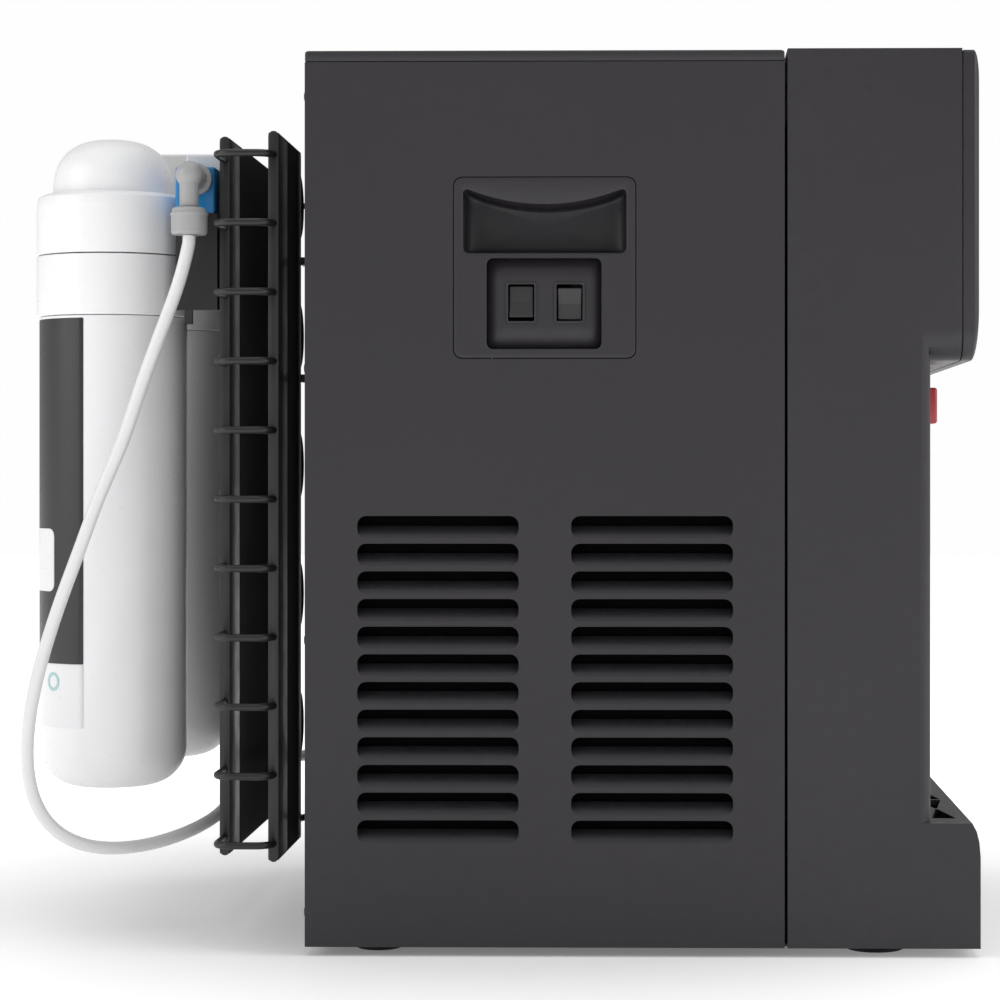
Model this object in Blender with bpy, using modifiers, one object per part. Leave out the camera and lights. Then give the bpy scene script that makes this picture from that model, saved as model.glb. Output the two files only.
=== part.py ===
"""Countertop water dispenser: a cabinet with a front cup bay, a rear condenser and two water filters.

Metres, +Z up. The origin is under the middle of the unit, on the worktop. +X points to the front and
-Y to the left side of someone who stands before it. Every named object is one separate piece.
"""

import math

import bmesh
import bpy
from mathutils import Matrix, Vector

# --- driving dimensions -------------------------------------------------------------------------------
GAP = 0.0003                      # what touching pieces keep between them
HALF_WIDTH = 0.1525
REAR_X = -0.0877                  # outside of the rear panel
SEAM_X = 0.1408                   # front end of the side panels and the top cover
HOUSING_X = 0.1422                # rear end of the front housing
PILLAR_X = 0.2104                 # front of the pillars beside the cup bay
PILLAR_ROUND = 0.0060             # radius of the pillars' front edges
FASCIA_X = 0.2253                 # rear face of the control fascia
FRONT_X = 0.2334                  # front of the head
BASE_FRONT_X = 0.2337             # front of the base
FLOOR_Z = 0.0045                  # underside of the cabinet, on its feet
LID_Z = 0.4264                    # seam between the side panels and the top cover
TOP_Z = 0.4315                    # top of the cabinet
HEAD_TOP_Z = 0.4320
HEAD_Z = 0.2840                   # underside of the head
BASE_Z = 0.0640                   # top of the base, around the drip tray
PANEL_WALL = 0.0025
HOUSING_WALL = 0.0030

BAY_BACK_X = 0.1500
BAY_HALF = 0.1280
TRAY_BACK_X = 0.1520
TRAY_HALF_REAR = 0.1265           # tray half width inside the bay
TRAY_HALF_FRONT = 0.1400          # tray half width ahead of the pillars
TRAY_FRONT_X = 0.2300
TRAY_NOTCH_X = 0.2110
TRAY_FLOOR_Z = 0.0445
TRAY_CLEARANCE = 0.0005
TRAY_CORNER = 0.0105              # radius of the tray's two rear corners

TAP_SPACING = 0.0700
SPOUT_X = 0.1860
PIVOT = (0.2050, 0.2940)          # x and z of the levers' pivot rod
ROD_RADIUS = 0.0020
TAB_FRONT_X = 0.2205
TAB_LOW_Z = 0.2550
TAB_HIGH_Z = 0.2730

INSERT_MID = (0.0267, 0.3280)     # x and z of the handle inserts' middle
INSERT_SIZE = (0.0866, 0.0860)
ROCKER_X = (0.0154, 0.0385)
ROCKER_Z = 0.3115
ROCKER_PIVOT_Y = -0.1440
ROCKER_TILT = math.radians(7)

LOUVRE_COLUMNS = (-0.02415, 0.0778)
LOUVRE_SIZE = (0.0769, 0.0104)
LOUVRE_TOP_Z = 0.2098
LOUVRE_PITCH = 0.01317
LOUVRE_ROWS = 12

COIL_OUTER_X = -0.1317            # middle of the condenser's outer layer
COIL_INNER_X = -0.1047            # middle of the condenser's inner layer
COIL_TUBE = 0.0018                # tube radius
COIL_LEVELS = 11
COIL_LOW_Z = 0.0517
COIL_PITCH = 0.0332
COIL_NEAR_Y = -0.1378             # where the hairpins at the left end begin
COIL_CORNER = 0.0080              # bend radius of the hairpins
COIL_INNER_FAR_Y = -0.0540
COIL_OUTER_FAR_Y = 0.0954
GRID_Z = (0.0427, 0.3953)
WIRE = 0.0012

FILTER_X = -0.1950
FILTER_Y = (-0.0717, 0.0718)
FILTER_SEAM_Z = 0.3391
COLLAR_RADIUS = 0.03835
RING_LOW_Z = 0.3087
ELBOW = (-0.1473, -0.1260, 0.3754)
HOSE_RADIUS = 0.003175
INLET = (0.1400, 0.0660)          # y and z of the water inlet
DRAIN = (-0.0600, 0.0250)         # y and z of the drain plug


# --- scene helpers ------------------------------------------------------------------------------------
def clear_scene():
    for obj in list(bpy.data.objects):
        bpy.data.objects.remove(obj, do_unlink=True)


def new_collection(name):
    collection = bpy.data.collections.new(name)
    bpy.context.scene.collection.children.link(collection)
    return collection


def finish(name, colour, roughness, metallic=0.0):
    material = bpy.data.materials.new(name)
    material.use_nodes = True
    shader = material.node_tree.nodes["Principled BSDF"]
    shader.inputs["Base Color"].default_value = (*colour, 1.0)
    shader.inputs["Roughness"].default_value = roughness
    shader.inputs["Metallic"].default_value = metallic
    return material


def add_object(name, data, material=None, location=(0, 0, 0), rotation=(0, 0, 0)):
    """Links a new part, or a cutter where no material is given."""
    obj = bpy.data.objects.new(name, data)
    obj.location = location
    obj.rotation_euler = rotation
    if material is None:
        CUTTERS.objects.link(obj)
        obj.hide_render = True
        obj.display_type = "WIRE"
    else:
        PARTS.objects.link(obj)
        data.materials.append(material)
    return obj


def mesh_of(bm, name):
    bmesh.ops.recalc_face_normals(bm, faces=bm.faces)
    mesh = bpy.data.meshes.new(name)
    bm.to_mesh(mesh)
    bm.free()
    return mesh


def box(name, low, high, material=None, bevel=0.0):
    """A box between two corners, its object at the middle of the box."""
    low, high = Vector(low), Vector(high)
    bm = bmesh.new()
    bmesh.ops.create_cube(bm, size=1.0)
    bmesh.ops.scale(bm, vec=high - low, verts=bm.verts)
    obj = add_object(name, mesh_of(bm, name), material, (low + high) / 2)
    if bevel:
        round_edges(obj, bevel)
    return obj


def round_edges(obj, width, segments=2):
    modifier = obj.modifiers.new("rounded_edges", "BEVEL")
    modifier.width = width
    modifier.segments = segments
    modifier.limit_method = "ANGLE"
    modifier.angle_limit = math.radians(40)


def cylinder(name, start, end, radius, material=None, segments=16):
    """A plain round bar from start to end."""
    start, end = Vector(start), Vector(end)
    bm = bmesh.new()
    bmesh.ops.create_cone(
        bm, cap_ends=True, segments=segments, radius1=radius, radius2=radius, depth=(end - start).length
    )
    obj = add_object(name, mesh_of(bm, name), material, (start + end) / 2)
    obj.rotation_euler = Vector((0, 0, 1)).rotation_difference(end - start).to_euler()
    return obj


def turned(name, profile, location, material=None, rotation=(0, 0, 0), steps=24):
    """A profile of (radius, height) points turned about local Z. It runs down the outer side."""
    bm = bmesh.new()
    points = [bm.verts.new((radius, 0, height)) for radius, height in profile]
    for first, second in zip(points, points[1:]):
        bm.edges.new((first, second))
    if profile[0][0] > 0:
        bm.edges.new((points[-1], points[0]))
    mesh = bpy.data.meshes.new(name)
    bm.to_mesh(mesh)
    bm.free()
    obj = add_object(name, mesh, material, location, rotation)
    screw = obj.modifiers.new("turned", "SCREW")
    screw.steps = screw.render_steps = steps
    screw.use_merge_vertices = True
    screw.merge_threshold = 0.00001
    screw.use_smooth_shade = True
    return obj


def prism(name, outlines, low, high, plane, material=None):
    """Flat outlines, with any further outlines as holes, extruded between two heights.

    plane XY extrudes along Z, plane XZ along Y and plane YZ along X.
    """
    curve = bpy.data.curves.new(name, "CURVE")
    curve.dimensions = "2D"
    curve.fill_mode = "BOTH"
    curve.extrude = (high - low) / 2
    for outline in outlines:
        spline = curve.splines.new("POLY")
        spline.points.add(len(outline) - 1)
        for point, (u, v) in zip(spline.points, outline):
            point.co = (u, v, 0, 1)
        spline.use_cyclic_u = True
    mid = (low + high) / 2
    place = {
        "XY": Matrix.Translation((0, 0, mid)),
        "XZ": Matrix.Translation((0, mid, 0)) @ Matrix.Rotation(math.pi / 2, 4, "X"),
        "YZ": Matrix(((0, 0, 1, mid), (1, 0, 0, 0), (0, 1, 0, 0), (0, 0, 0, 1))),
    }[plane]
    return meshed(name, curve, place, material)


def meshed(name, curve, place, material=None):
    """The mesh of a curve, with its loose caps welded on."""
    guide = bpy.data.objects.new(name + "_guide", curve)
    CUTTERS.objects.link(guide)
    bpy.context.view_layer.update()
    graph = bpy.context.evaluated_depsgraph_get()
    mesh = bpy.data.meshes.new_from_object(guide.evaluated_get(graph))
    bpy.data.objects.remove(guide, do_unlink=True)
    bpy.data.curves.remove(curve)
    bm = bmesh.new()
    bm.from_mesh(mesh)
    bmesh.ops.remove_doubles(bm, verts=bm.verts, dist=0.000005)
    bmesh.ops.recalc_face_normals(bm, faces=bm.faces)
    bm.to_mesh(mesh)
    bm.free()
    mesh.materials.clear()
    mesh.name = name
    obj = add_object(name, mesh, material)
    obj.matrix_world = place
    return obj


def rectangle(u_low, u_high, v_low, v_high, radius=0.0, corner_points=3):
    """An anticlockwise rectangle whose corners are arcs of corner_points points."""
    if not radius:
        return [(u_low, v_low), (u_high, v_low), (u_high, v_high), (u_low, v_high)]
    corners = (
        (u_high - radius, v_low + radius, -90),
        (u_high - radius, v_high - radius, 0),
        (u_low + radius, v_high - radius, 90),
        (u_low + radius, v_low + radius, 180),
    )
    return [
        (u + radius * math.cos(angle), v + radius * math.sin(angle))
        for u, v, start in corners
        for angle in (
            math.radians(start + 90 * step / (corner_points - 1)) for step in range(corner_points)
        )
    ]


def boolean(obj, others, operation):
    """Cuts each of the others from the piece, or joins each to it. They become hidden helpers."""
    for other in others:
        if other.name in PARTS.objects:
            PARTS.objects.unlink(other)
            CUTTERS.objects.link(other)
            other.hide_render = True
            other.display_type = "WIRE"
        modifier = obj.modifiers.new(other.name, "BOOLEAN")
        modifier.operation = operation
        modifier.solver = "EXACT"
        modifier.object = other
    return obj


def cut(obj, *others):
    return boolean(obj, others, "DIFFERENCE")


def join(obj, *others):
    return boolean(obj, others, "UNION")


def pipe(name, points, radius, material, bevel_resolution=2):
    """A round tube of straight runs between points, with filled ends."""
    curve = bpy.data.curves.new(name, "CURVE")
    curve.dimensions = "3D"
    curve.bevel_depth = radius
    curve.bevel_resolution = bevel_resolution
    curve.use_fill_caps = True
    spline = curve.splines.new("POLY")
    spline.points.add(len(points) - 1)
    for point, place in zip(spline.points, points):
        point.co = (*place, 1)
    spline.use_smooth = True
    return add_object(name, curve, material)


# --- cabinet ------------------------------------------------------------------------------------------
def louvre_slots():
    width, height = LOUVRE_SIZE
    return [
        rectangle(column - width / 2, column + width / 2, top - height, top, height * 0.3, 2)
        for column in LOUVRE_COLUMNS
        for top in (LOUVRE_TOP_Z - row * LOUVRE_PITCH for row in range(LOUVRE_ROWS))
    ]


def insert_outline(margin):
    half_x, half_z = INSERT_SIZE[0] / 2 + margin, INSERT_SIZE[1] / 2 + margin
    mid_x, mid_z = INSERT_MID
    return rectangle(mid_x - half_x, mid_x + half_x, mid_z - half_z, mid_z + half_z, 0.004 + margin)


def side_panel(name, side):
    """A flat wall with its insert opening and two columns of louvre slots. side is -1 left, 1 right."""
    outer, inner = side * HALF_WIDTH, side * (HALF_WIDTH - PANEL_WALL)
    wall = rectangle(REAR_X, SEAM_X, FLOOR_Z, LID_Z - GAP)
    outlines = [wall, insert_outline(GAP), *louvre_slots()]
    prism(name, outlines, min(outer, inner), max(outer, inner), "XZ", BLACK_PLASTIC)


def handle_insert(name, side, with_switches):
    """A flush bezel with a finger recess under an arched grip, and a bay for the rocker switches."""

    def span(depth_low, depth_high):
        ends = (side * (HALF_WIDTH - depth_low), side * (HALF_WIDTH - depth_high))
        return min(ends), max(ends)

    def block(label, x_low, x_high, z_low, z_high, depth_low, depth_high):
        y_low, y_high = span(depth_low, depth_high)
        return box(f"{name}_{label}", (x_low, y_low, z_low), (x_high, y_high, z_high))

    low_x, high_x = INSERT_MID[0] - 0.0388, INSERT_MID[0] + 0.0388
    grip = []
    for step in range(9):
        share = step / 4 - 1
        grip.append((INSERT_MID[0] - share * 0.0388, 0.3580 + 0.0080 * share * share))
    recess_outline = [(low_x, 0.3350), (high_x, 0.3350), *grip]
    insert = prism(name, [insert_outline(0)], *span(0, PANEL_WALL), "XZ", BLACK_PLASTIC)
    join(insert, block("recess_wall", low_x - 0.0025, high_x + 0.0025, 0.3325, 0.3685, 0.001, 0.0245))
    if with_switches:
        join(insert, block("bay_wall", -0.0035, 0.0563, 0.2868, 0.3345, 0.0005, 0.0060))
    cut(insert, prism(f"{name}_recess", [recess_outline], *span(-0.001, 0.0220), "XZ"))
    if with_switches:
        bay = rectangle(-0.0010, 0.0538, 0.2893, 0.3325, 0.003)
        cut(insert, prism(f"{name}_bay", [bay], *span(-0.001, 0.0035), "XZ"))
        for number, x in enumerate(ROCKER_X):
            low, high = (x - 0.0062, ROCKER_Z - 0.00865), (x + 0.0062, ROCKER_Z + 0.00865)
            cut(insert, block(f"rocker_hole_{number}", low[0], high[0], low[1], high[1], 0.003, 0.008))


def rocker(name, x, tilt):
    """A switch rocker, its object on the pivot axis, resting against one of its two stops."""
    outline = [(-0.0046, -0.0077), (0.0025, -0.0050), (0.0025, 0.0050), (-0.0046, 0.0077), (-0.0040, 0.0)]
    piece = prism(name, [outline], -0.0058, 0.0058, "YZ", ROCKER_BLACK)
    piece.matrix_world = (
        Matrix.Translation((x, ROCKER_PIVOT_Y, ROCKER_Z)) @ Matrix.Rotation(tilt, 4, "X") @ piece.matrix_world
    )


def top_cover():
    cover = box(
        "top_cover", (REAR_X, -HALF_WIDTH, LID_Z), (SEAM_X, HALF_WIDTH, TOP_Z), BLACK_PLASTIC, bevel=0.0012
    )
    inside = HALF_WIDTH - PANEL_WALL
    low, high = (REAR_X + 0.002, -inside, LID_Z - 0.002), (SEAM_X - 0.002, inside, TOP_Z - PANEL_WALL)
    cut(cover, box("top_cover_hollow", low, high))


def rear_panel():
    half = HALF_WIDTH - PANEL_WALL - GAP
    panel = box(
        "rear_panel", (REAR_X, -half, FLOOR_Z), (REAR_X + 0.0015, half, LID_Z - GAP), BLACK_METAL
    )
    cut(panel, box("inlet_hole", (REAR_X - 0.001, 0.0965, 0.0170), (REAR_X + 0.003, 0.1235, 0.0380)))
    cut(panel, cylinder("drain_hole", (REAR_X - 0.001, *DRAIN), (REAR_X + 0.003, *DRAIN), 0.0063))


def base_and_feet():
    low = (REAR_X + 0.002, -0.147, FLOOR_Z)
    box("base_pan", low, (0.228, 0.147, FLOOR_Z + 0.0015), BLACK_METAL)
    for place, x, radius in (("front", 0.1856, 0.0148), ("rear", -0.0546, 0.0120)):
        for side, y in (("left", -0.125), ("right", 0.125)):
            top = FLOOR_Z - GAP
            profile = [(0, top), (radius, top), (radius, 0.001), (radius - 0.0015, 0), (0, 0)]
            turned(f"{place}_{side}_foot", profile, (x, y, 0), RUBBER, steps=20)


def rear_fittings():
    """The mains inlet socket, the drain plug and the water inlet, all on the rear panel."""
    socket = box("power_inlet", (-0.0905, 0.092, 0.0130), (REAR_X - GAP, 0.128, 0.0420), GREY_PLASTIC)
    join(socket, box("power_inlet_body", (-0.0885, 0.0970, 0.0175), (-0.0640, 0.1230, 0.0375)))
    cut(socket, box("power_inlet_hollow", (-0.0920, 0.0990, 0.0195), (-0.0745, 0.1210, 0.0355)))
    drain = [
        (0, 0.0075), (0.0085, 0.0075), (0.0095, 0.0065), (0.0095, GAP),
        (0.0060, GAP), (0.0060, -0.0120), (0, -0.0120),
    ]
    turned("drain_plug", drain, (REAR_X, *DRAIN), GREY_PLASTIC, (0, -math.pi / 2, 0))
    nut = [
        (0, 0.0123), (0.0062, 0.0123), (0.0080, 0.0110), (0.0080, 0.0050),
        (0.0095, 0.0050), (0.0095, GAP), (0, GAP),
    ]
    turned("inlet_fitting", nut, (REAR_X, *INLET), GREY_PLASTIC, (0, -math.pi / 2, 0), 16)


# --- front --------------------------------------------------------------------------------------------
def head_outline(half, low_z, high_z, radius, top_radius=0.0):
    """The head's front view, with its two lower corners rounded."""
    arcs = 9
    outline = []
    for side, start in ((-1, 180), (1, 270)):
        for step in range(arcs):
            angle = math.radians(start + 90 * step / (arcs - 1))
            middle = side * (half - radius)
            outline.append((middle + radius * math.cos(angle), low_z + radius + radius * math.sin(angle)))
    outline += [(half, high_z - top_radius), (half - top_radius, high_z)]
    outline += [(-half + top_radius, high_z), (-half, high_z - top_radius)]
    return outline if top_radius else outline[: 2 * arcs] + [(half, high_z), (-half, high_z)]


def tray_outline(margin):
    """The T-shaped plan of the drip tray: wide ahead of the pillars and narrower between them."""
    front, notch = TRAY_FRONT_X + margin, TRAY_NOTCH_X - margin
    wide, narrow = TRAY_HALF_FRONT + margin, TRAY_HALF_REAR + margin
    radius = TRAY_CORNER + margin
    rear_corners = [
        (
            TRAY_BACK_X + TRAY_CORNER - radius * math.sin(math.radians(angle)),
            side * (TRAY_HALF_REAR - TRAY_CORNER + radius * math.cos(math.radians(angle))),
        )
        for side, angles in ((1, (0, 30, 60, 90)), (-1, (90, 60, 30, 0)))
        for angle in angles
    ]
    return [
        (notch, -narrow), (notch, -wide), (front, -wide), (front, wide), (notch, wide), (notch, narrow),
        *rear_corners,
    ]


def front_housing():
    """Head, pillars and base in one moulding, hollow from behind and from below."""
    pillars = rectangle(HOUSING_X, PILLAR_X, -HALF_WIDTH, HALF_WIDTH)
    round_front = [
        (
            PILLAR_X - PILLAR_ROUND + PILLAR_ROUND * math.cos(angle),
            side * (HALF_WIDTH - PILLAR_ROUND + PILLAR_ROUND * math.sin(angle)),
        )
        for side in (-1, 1)
        for angle in (math.radians(90 * (step if side > 0 else 5 - step) / 5) for step in range(6))
    ]
    pillars = [pillars[0], *round_front, pillars[3]]
    housing = prism("front_housing", [pillars], FLOOR_Z, HEAD_TOP_Z, "XY", BLACK_PLASTIC)
    head = [head_outline(HALF_WIDTH, HEAD_Z, HEAD_TOP_Z, 0.0145)]
    join(housing, prism("housing_head", head, 0.2000, FASCIA_X - GAP, "YZ"))
    base = [
        (0.200, FLOOR_Z), (BASE_FRONT_X, FLOOR_Z), (BASE_FRONT_X, 0.048),
        (0.2331, 0.055), (0.2319, 0.060), (0.2298, BASE_Z), (0.200, BASE_Z),
    ]
    join(housing, prism("housing_base", [base], -HALF_WIDTH, HALF_WIDTH, "XZ"))
    bay = rectangle(BAY_BACK_X, 0.260, -BAY_HALF, BAY_HALF, 0.012, 7)
    inside = HALF_WIDTH - HOUSING_WALL
    cut(
        housing,
        prism("cup_bay", [bay], BASE_Z, HEAD_Z, "XY"),
        prism("tray_recess", [tray_outline(TRAY_CLEARANCE)], TRAY_FLOOR_Z, BASE_Z + 0.003, "XY"),
        box("head_hollow", (0.130, -inside, HEAD_Z + HOUSING_WALL), (0.2220, inside, 0.4290)),
        box("back_hollow", (0.130, -inside, 0.0), (BAY_BACK_X - HOUSING_WALL, inside, 0.4280)),
        box("base_hollow", (0.130, -inside, -0.001), (0.2307, inside, TRAY_FLOOR_Z - 0.003)),
        box("left_pillar_hollow", (0.129, -inside, 0.010), (0.2074, -BAY_HALF - 0.003, 0.4270)),
        box("right_pillar_hollow", (0.129, BAY_HALF + 0.003, 0.010), (0.2074, inside, 0.4270)),
    )
    for number in range(3):
        y = (number - 1) * TAP_SPACING
        low, high = (SPOUT_X, y, HEAD_Z - 0.002), (SPOUT_X, y, HEAD_Z + 0.006)
        cut(housing, cylinder(f"spout_hole_{number}", low, high, 0.0074))
        low, high = (0.1985, y - 0.006, HEAD_Z - 0.002), (0.2120, y + 0.006, HEAD_Z + 0.006)
        cut(housing, box(f"lever_slot_{number}", low, high))


def control_fascia():
    outline = head_outline(HALF_WIDTH, HEAD_Z, HEAD_TOP_Z - 0.0006, 0.0145, 0.002)
    fascia = prism("control_fascia", [outline], FASCIA_X, FRONT_X, "YZ", BLACK_PLASTIC)
    round_edges(fascia, 0.0022)
    hollow = [head_outline(HALF_WIDTH - 0.003, HEAD_Z + 0.003, 0.4285, 0.0115)]
    cut(fascia, prism("fascia_hollow", hollow, FASCIA_X - 0.002, FRONT_X - 0.003, "YZ"))
    cut(fascia, box("window_recess", (FRONT_X - 0.0014, -0.045, 0.352), (0.236, 0.045, 0.372)))
    low, high = (FRONT_X - 0.0011, -0.0446, 0.3524), (FRONT_X - 0.0001, 0.0446, 0.3716)
    box("indicator_window", low, high, DARK_GLASS)


def taps():
    """Spouts, solenoid valves and the bracket that carries the levers' pivot rod."""
    bracket = box("tap_bracket", (0.176, -0.100, 0.3020), (0.214, 0.100, 0.3050), BLACK_METAL)
    for end in (-1, 1):
        foot = (0.180, end * 0.095 - 0.004, HEAD_Z + HOUSING_WALL + GAP)
        join(bracket, box(f"bracket_foot_{end}", foot, (0.196, end * 0.095 + 0.004, 0.3030)))
    for number, name in enumerate(("hot", "room", "cold")):
        y = (number - 1) * TAP_SPACING
        for side in (-1, 1):
            middle = y + side * 0.009
            low = (PIVOT[0] - 0.005, middle - 0.001, PIVOT[1] - 0.005)
            join(bracket, box(f"{name}_lug_{side}", low, (PIVOT[0] + 0.005, middle + 0.001, 0.3030)))
        spout = [
            (0, 0.2990), (0.0100, 0.2990), (0.0100, 0.2874), (0.0070, 0.2874), (0.0070, 0.2530),
            (0.0062, 0.2500), (0.0045, 0.2500), (0.0045, 0.2535), (0, 0.2535),
        ]
        turned(f"{name}_spout", spout, (SPOUT_X, y, 0), GREY_PLASTIC, steps=20)
        valve = [
            (0, 0.0340), (0.0060, 0.0340), (0.0060, 0.0290), (0.0115, 0.0290),
            (0.0115, 0.0040), (0.0070, 0.0040), (0.0070, 0), (0, 0),
        ]
        turned(f"{name}_valve", valve, (SPOUT_X, y, 0.3053), WHITE_PLASTIC, steps=12)
    start, end = (PIVOT[0], -0.098, PIVOT[1]), (PIVOT[0], 0.098, PIVOT[1])
    cut(bracket, cylinder("rod_hole", start, end, ROD_RADIUS + 0.0002))
    cylinder("lever_pivot_rod", (PIVOT[0], -0.090, PIVOT[1]), (PIVOT[0], 0.090, PIVOT[1]), ROD_RADIUS, STEEL)


def levers():
    """Three push levers that hang from the pivot rod. The hot one carries a red safety slide."""
    for number, name in enumerate(("hot", "room", "cold")):
        y = (number - 1) * TAP_SPACING
        hub = [
            (0.0048 * math.cos(math.radians(angle)), 0.0048 * math.sin(math.radians(angle)))
            for angle in range(0, 181, 30)
        ]
        arm = [*hub, (-0.0020, -0.0080), (-0.0020, -0.0440), (0.0030, -0.0440), (0.0030, -0.0080)]
        lever = prism(f"{name}_lever", [arm], -0.0045, 0.0045, "XZ", BLACK_PLASTIC)
        lever.matrix_world = Matrix.Translation((PIVOT[0], y, PIVOT[1])) @ lever.matrix_world
        start, end = (PIVOT[0], y - 0.01, PIVOT[1]), (PIVOT[0], y + 0.01, PIVOT[1])
        rod = cylinder(f"{name}_lever_hole", start, end, ROD_RADIUS + 0.0002)
        low = (0.2079 if number else 0.2083, y - 0.012, TAB_LOW_Z)
        high = (TAB_FRONT_X, y + 0.012, TAB_HIGH_Z)
        if number:
            join(lever, box(f"{name}_tab", low, high))
        else:
            box("hot_safety_slide", low, high, RED_PLASTIC, bevel=0.0012)
        cut(lever, rod)


def drip_tray():
    bottom, rim = TRAY_FLOOR_Z + 0.0005, 0.0605
    tray = prism("drip_tray", [tray_outline(0)], bottom, rim, "XY", BLACK_PLASTIC)
    cut(tray, prism("tray_hollow", [tray_outline(-0.0025)], bottom + 0.0025, rim + 0.002, "XY"))


def drip_grille():
    """A flat plate whose openings are rows of alternating triangles."""
    rows, bar, base_x = 7, 0.0028, 0.0160
    row_depth = 2 * 0.1330 / rows
    holes = []
    for row in range(rows):
        y_low, y_high = -0.1330 + row * row_depth + bar / 2, -0.1330 + (row + 1) * row_depth - bar / 2
        inside = max(abs(y_low), abs(y_high)) < TRAY_HALF_REAR - 0.004
        count = 8 if inside else 1
        for number in range(count):
            middle = 0.2265 - base_x / 2 - number * base_x / 2
            half = base_x / 2 - bar * 0.75
            ends = (y_low, y_high) if (number + row) % 2 == 0 else (y_high, y_low)
            base = [(middle - half, ends[0]), (middle + half, ends[0])]
            holes.append([*base, (middle + 0.0006, ends[1]), (middle - 0.0006, ends[1])])
    prism("drip_grille", [tray_outline(0), *holes], 0.0608, 0.0638, "XY", BLACK_PLASTIC)


# --- inside -------------------------------------------------------------------------------------------
def vessel(name, radius, low, high, wall, location, material, mouth):
    """A closed-bottomed round vessel with an opening of radius mouth in its top."""
    profile = [
        (0, low + wall), (radius - wall, low + wall), (radius - wall, high - wall), (mouth, high - wall),
        (mouth, high), (radius - 0.004, high), (radius, high - 0.004), (radius, low + 0.004),
        (radius - 0.004, low), (0, low),
    ]
    turned(name, profile, location, material)


def inside():
    shell = [
        (0, 0.150), (0.030, 0.147), (0.045, 0.136), (0.050, 0.118),
        (0.050, 0.042), (0.045, 0.024), (0.030, 0.013), (0, 0.012),
    ]
    turned("compressor", shell, (-0.025, 0.055, 0), BLACK_METAL)
    vessel("cold_tank", 0.045, 0.215, 0.365, 0.0015, (0.060, 0.060, 0), STEEL, 0.012)
    vessel("cold_tank_foam", 0.062, 0.205, 0.372, 0.0095, (0.060, 0.060, 0), FOAM, 0.0525)
    vessel("hot_tank", 0.044, 0.215, 0.340, 0.0015, (0.060, -0.072, 0), STEEL, 0.012)
    turns, per_turn, radius = 4, 16, 0.0487
    helix = []
    for step in range(turns * per_turn + 1):
        angle = 2 * math.pi * step / per_turn
        rise = 0.100 * step / (turns * per_turn)
        helix.append((0.060 + radius * math.cos(angle), 0.060 + radius * math.sin(angle), 0.235 + rise))
    pipe("evaporator_coil", helix, 0.0020, COPPER, 1)
    dryer = [
        (0, 0.095), (0.003, 0.095), (0.003, 0.083), (0.009, 0.075),
        (0.009, 0.020), (0.003, 0.012), (0.003, 0), (0, 0),
    ]
    turned("filter_dryer", dryer, (-0.060, -0.060, 0.030), COPPER, steps=12)
    box("control_board", (0.2180, -0.070, 0.320), (0.2196, 0.070, 0.415), BOARD_GREEN)


# --- condenser ----------------------------------------------------------------------------------------
def arc(middle, radius, axis_a, axis_b, start=-90, sweep=180, points=5):
    """Points of a circular bend in the plane of two unit axes."""
    middle, axis_a, axis_b = Vector(middle), Vector(axis_a), Vector(axis_b)
    bend = []
    for step in range(points):
        angle = math.radians(start + sweep * step / (points - 1))
        bend.append(tuple(middle + radius * (math.cos(angle) * axis_a + math.sin(angle) * axis_b)))
    return bend


def condenser_path():
    """One serpentine tube: a hairpin at the left of each level, and bends that join the levels."""
    hairpin = (COIL_INNER_X - COIL_OUTER_X) / 2
    middle_x = (COIL_INNER_X + COIL_OUTER_X) / 2
    top = COIL_LOW_Z + (COIL_LEVELS - 1) * COIL_PITCH
    path = [(REAR_X - GAP, 0.1254, top), (-0.1000, 0.1254, top)]
    path += arc((-0.1000, 0.0937, top), 0.0317, (0, 1, 0), (-1, 0, 0), 18, 72, 4)
    for level in range(COIL_LEVELS):
        z = top - level * COIL_PITCH
        inward = 1 if level % 2 == 0 else -1
        for end, start in ((-inward, 0), (inward, 90)):
            corner = (middle_x + end * (hairpin - COIL_CORNER), COIL_NEAR_Y, z)
            path += arc(corner, COIL_CORNER, (end, 0, 0), (0, -1, 0), start, 90 - 2 * start, 3)
        if level == COIL_LEVELS - 1:
            break
        far_y = COIL_INNER_FAR_Y if inward > 0 else COIL_OUTER_FAR_Y
        x = middle_x + inward * hairpin
        path += arc((x, far_y, z - COIL_PITCH / 2), COIL_PITCH / 2, (0, 1, 0), (0, 0, -1))
    z = top - (COIL_LEVELS - 1) * COIL_PITCH
    path += arc((COIL_INNER_X + 0.012, -0.0450, z), 0.012, (-1, 0, 0), (0, 1, 0), 0, 90, 4)
    return [*path, (REAR_X - GAP, -0.0330, z)]


def wire_grid(name, x, y_low, y_high, wires):
    """Upright wires between a top and a bottom bar, on one side of a condenser layer."""
    low_z, high_z = GRID_Z
    pitch = (y_high - y_low) / wires
    slots = [
        rectangle(y_low + pitch * n + 0.002, y_low + pitch * (n + 1) - 0.002, low_z + 0.003, high_z - 0.003)
        for n in range(wires)
    ]
    outline = rectangle(y_low, y_high, low_z, high_z, 0.0025, 3)
    prism(name, [outline, *slots], x - WIRE / 2, x + WIRE / 2, "YZ", BLACK_METAL)


def condenser():
    pipe("condenser_tube", condenser_path(), COIL_TUBE, BLACK_METAL, 1)
    offset = COIL_TUBE + WIRE / 2 + GAP
    for side, where in ((-1, "rear"), (1, "front")):
        wire_grid(f"outer_{where}_wires", COIL_OUTER_X + side * offset, -0.1155, 0.0930, 12)
        wire_grid(f"inner_{where}_wires", COIL_INNER_X + side * offset, -0.1375, -0.0545, 5)
    inner_face = COIL_INNER_X + offset + WIRE / 2 + GAP
    for name, z in (("upper", 0.3379), ("lower", 0.2784)):
        low, high = (inner_face, -0.0665, z - 0.002), (REAR_X - GAP, -0.0545, z + 0.002)
        box(f"{name}_condenser_standoff", low, high, BLACK_METAL)


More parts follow.
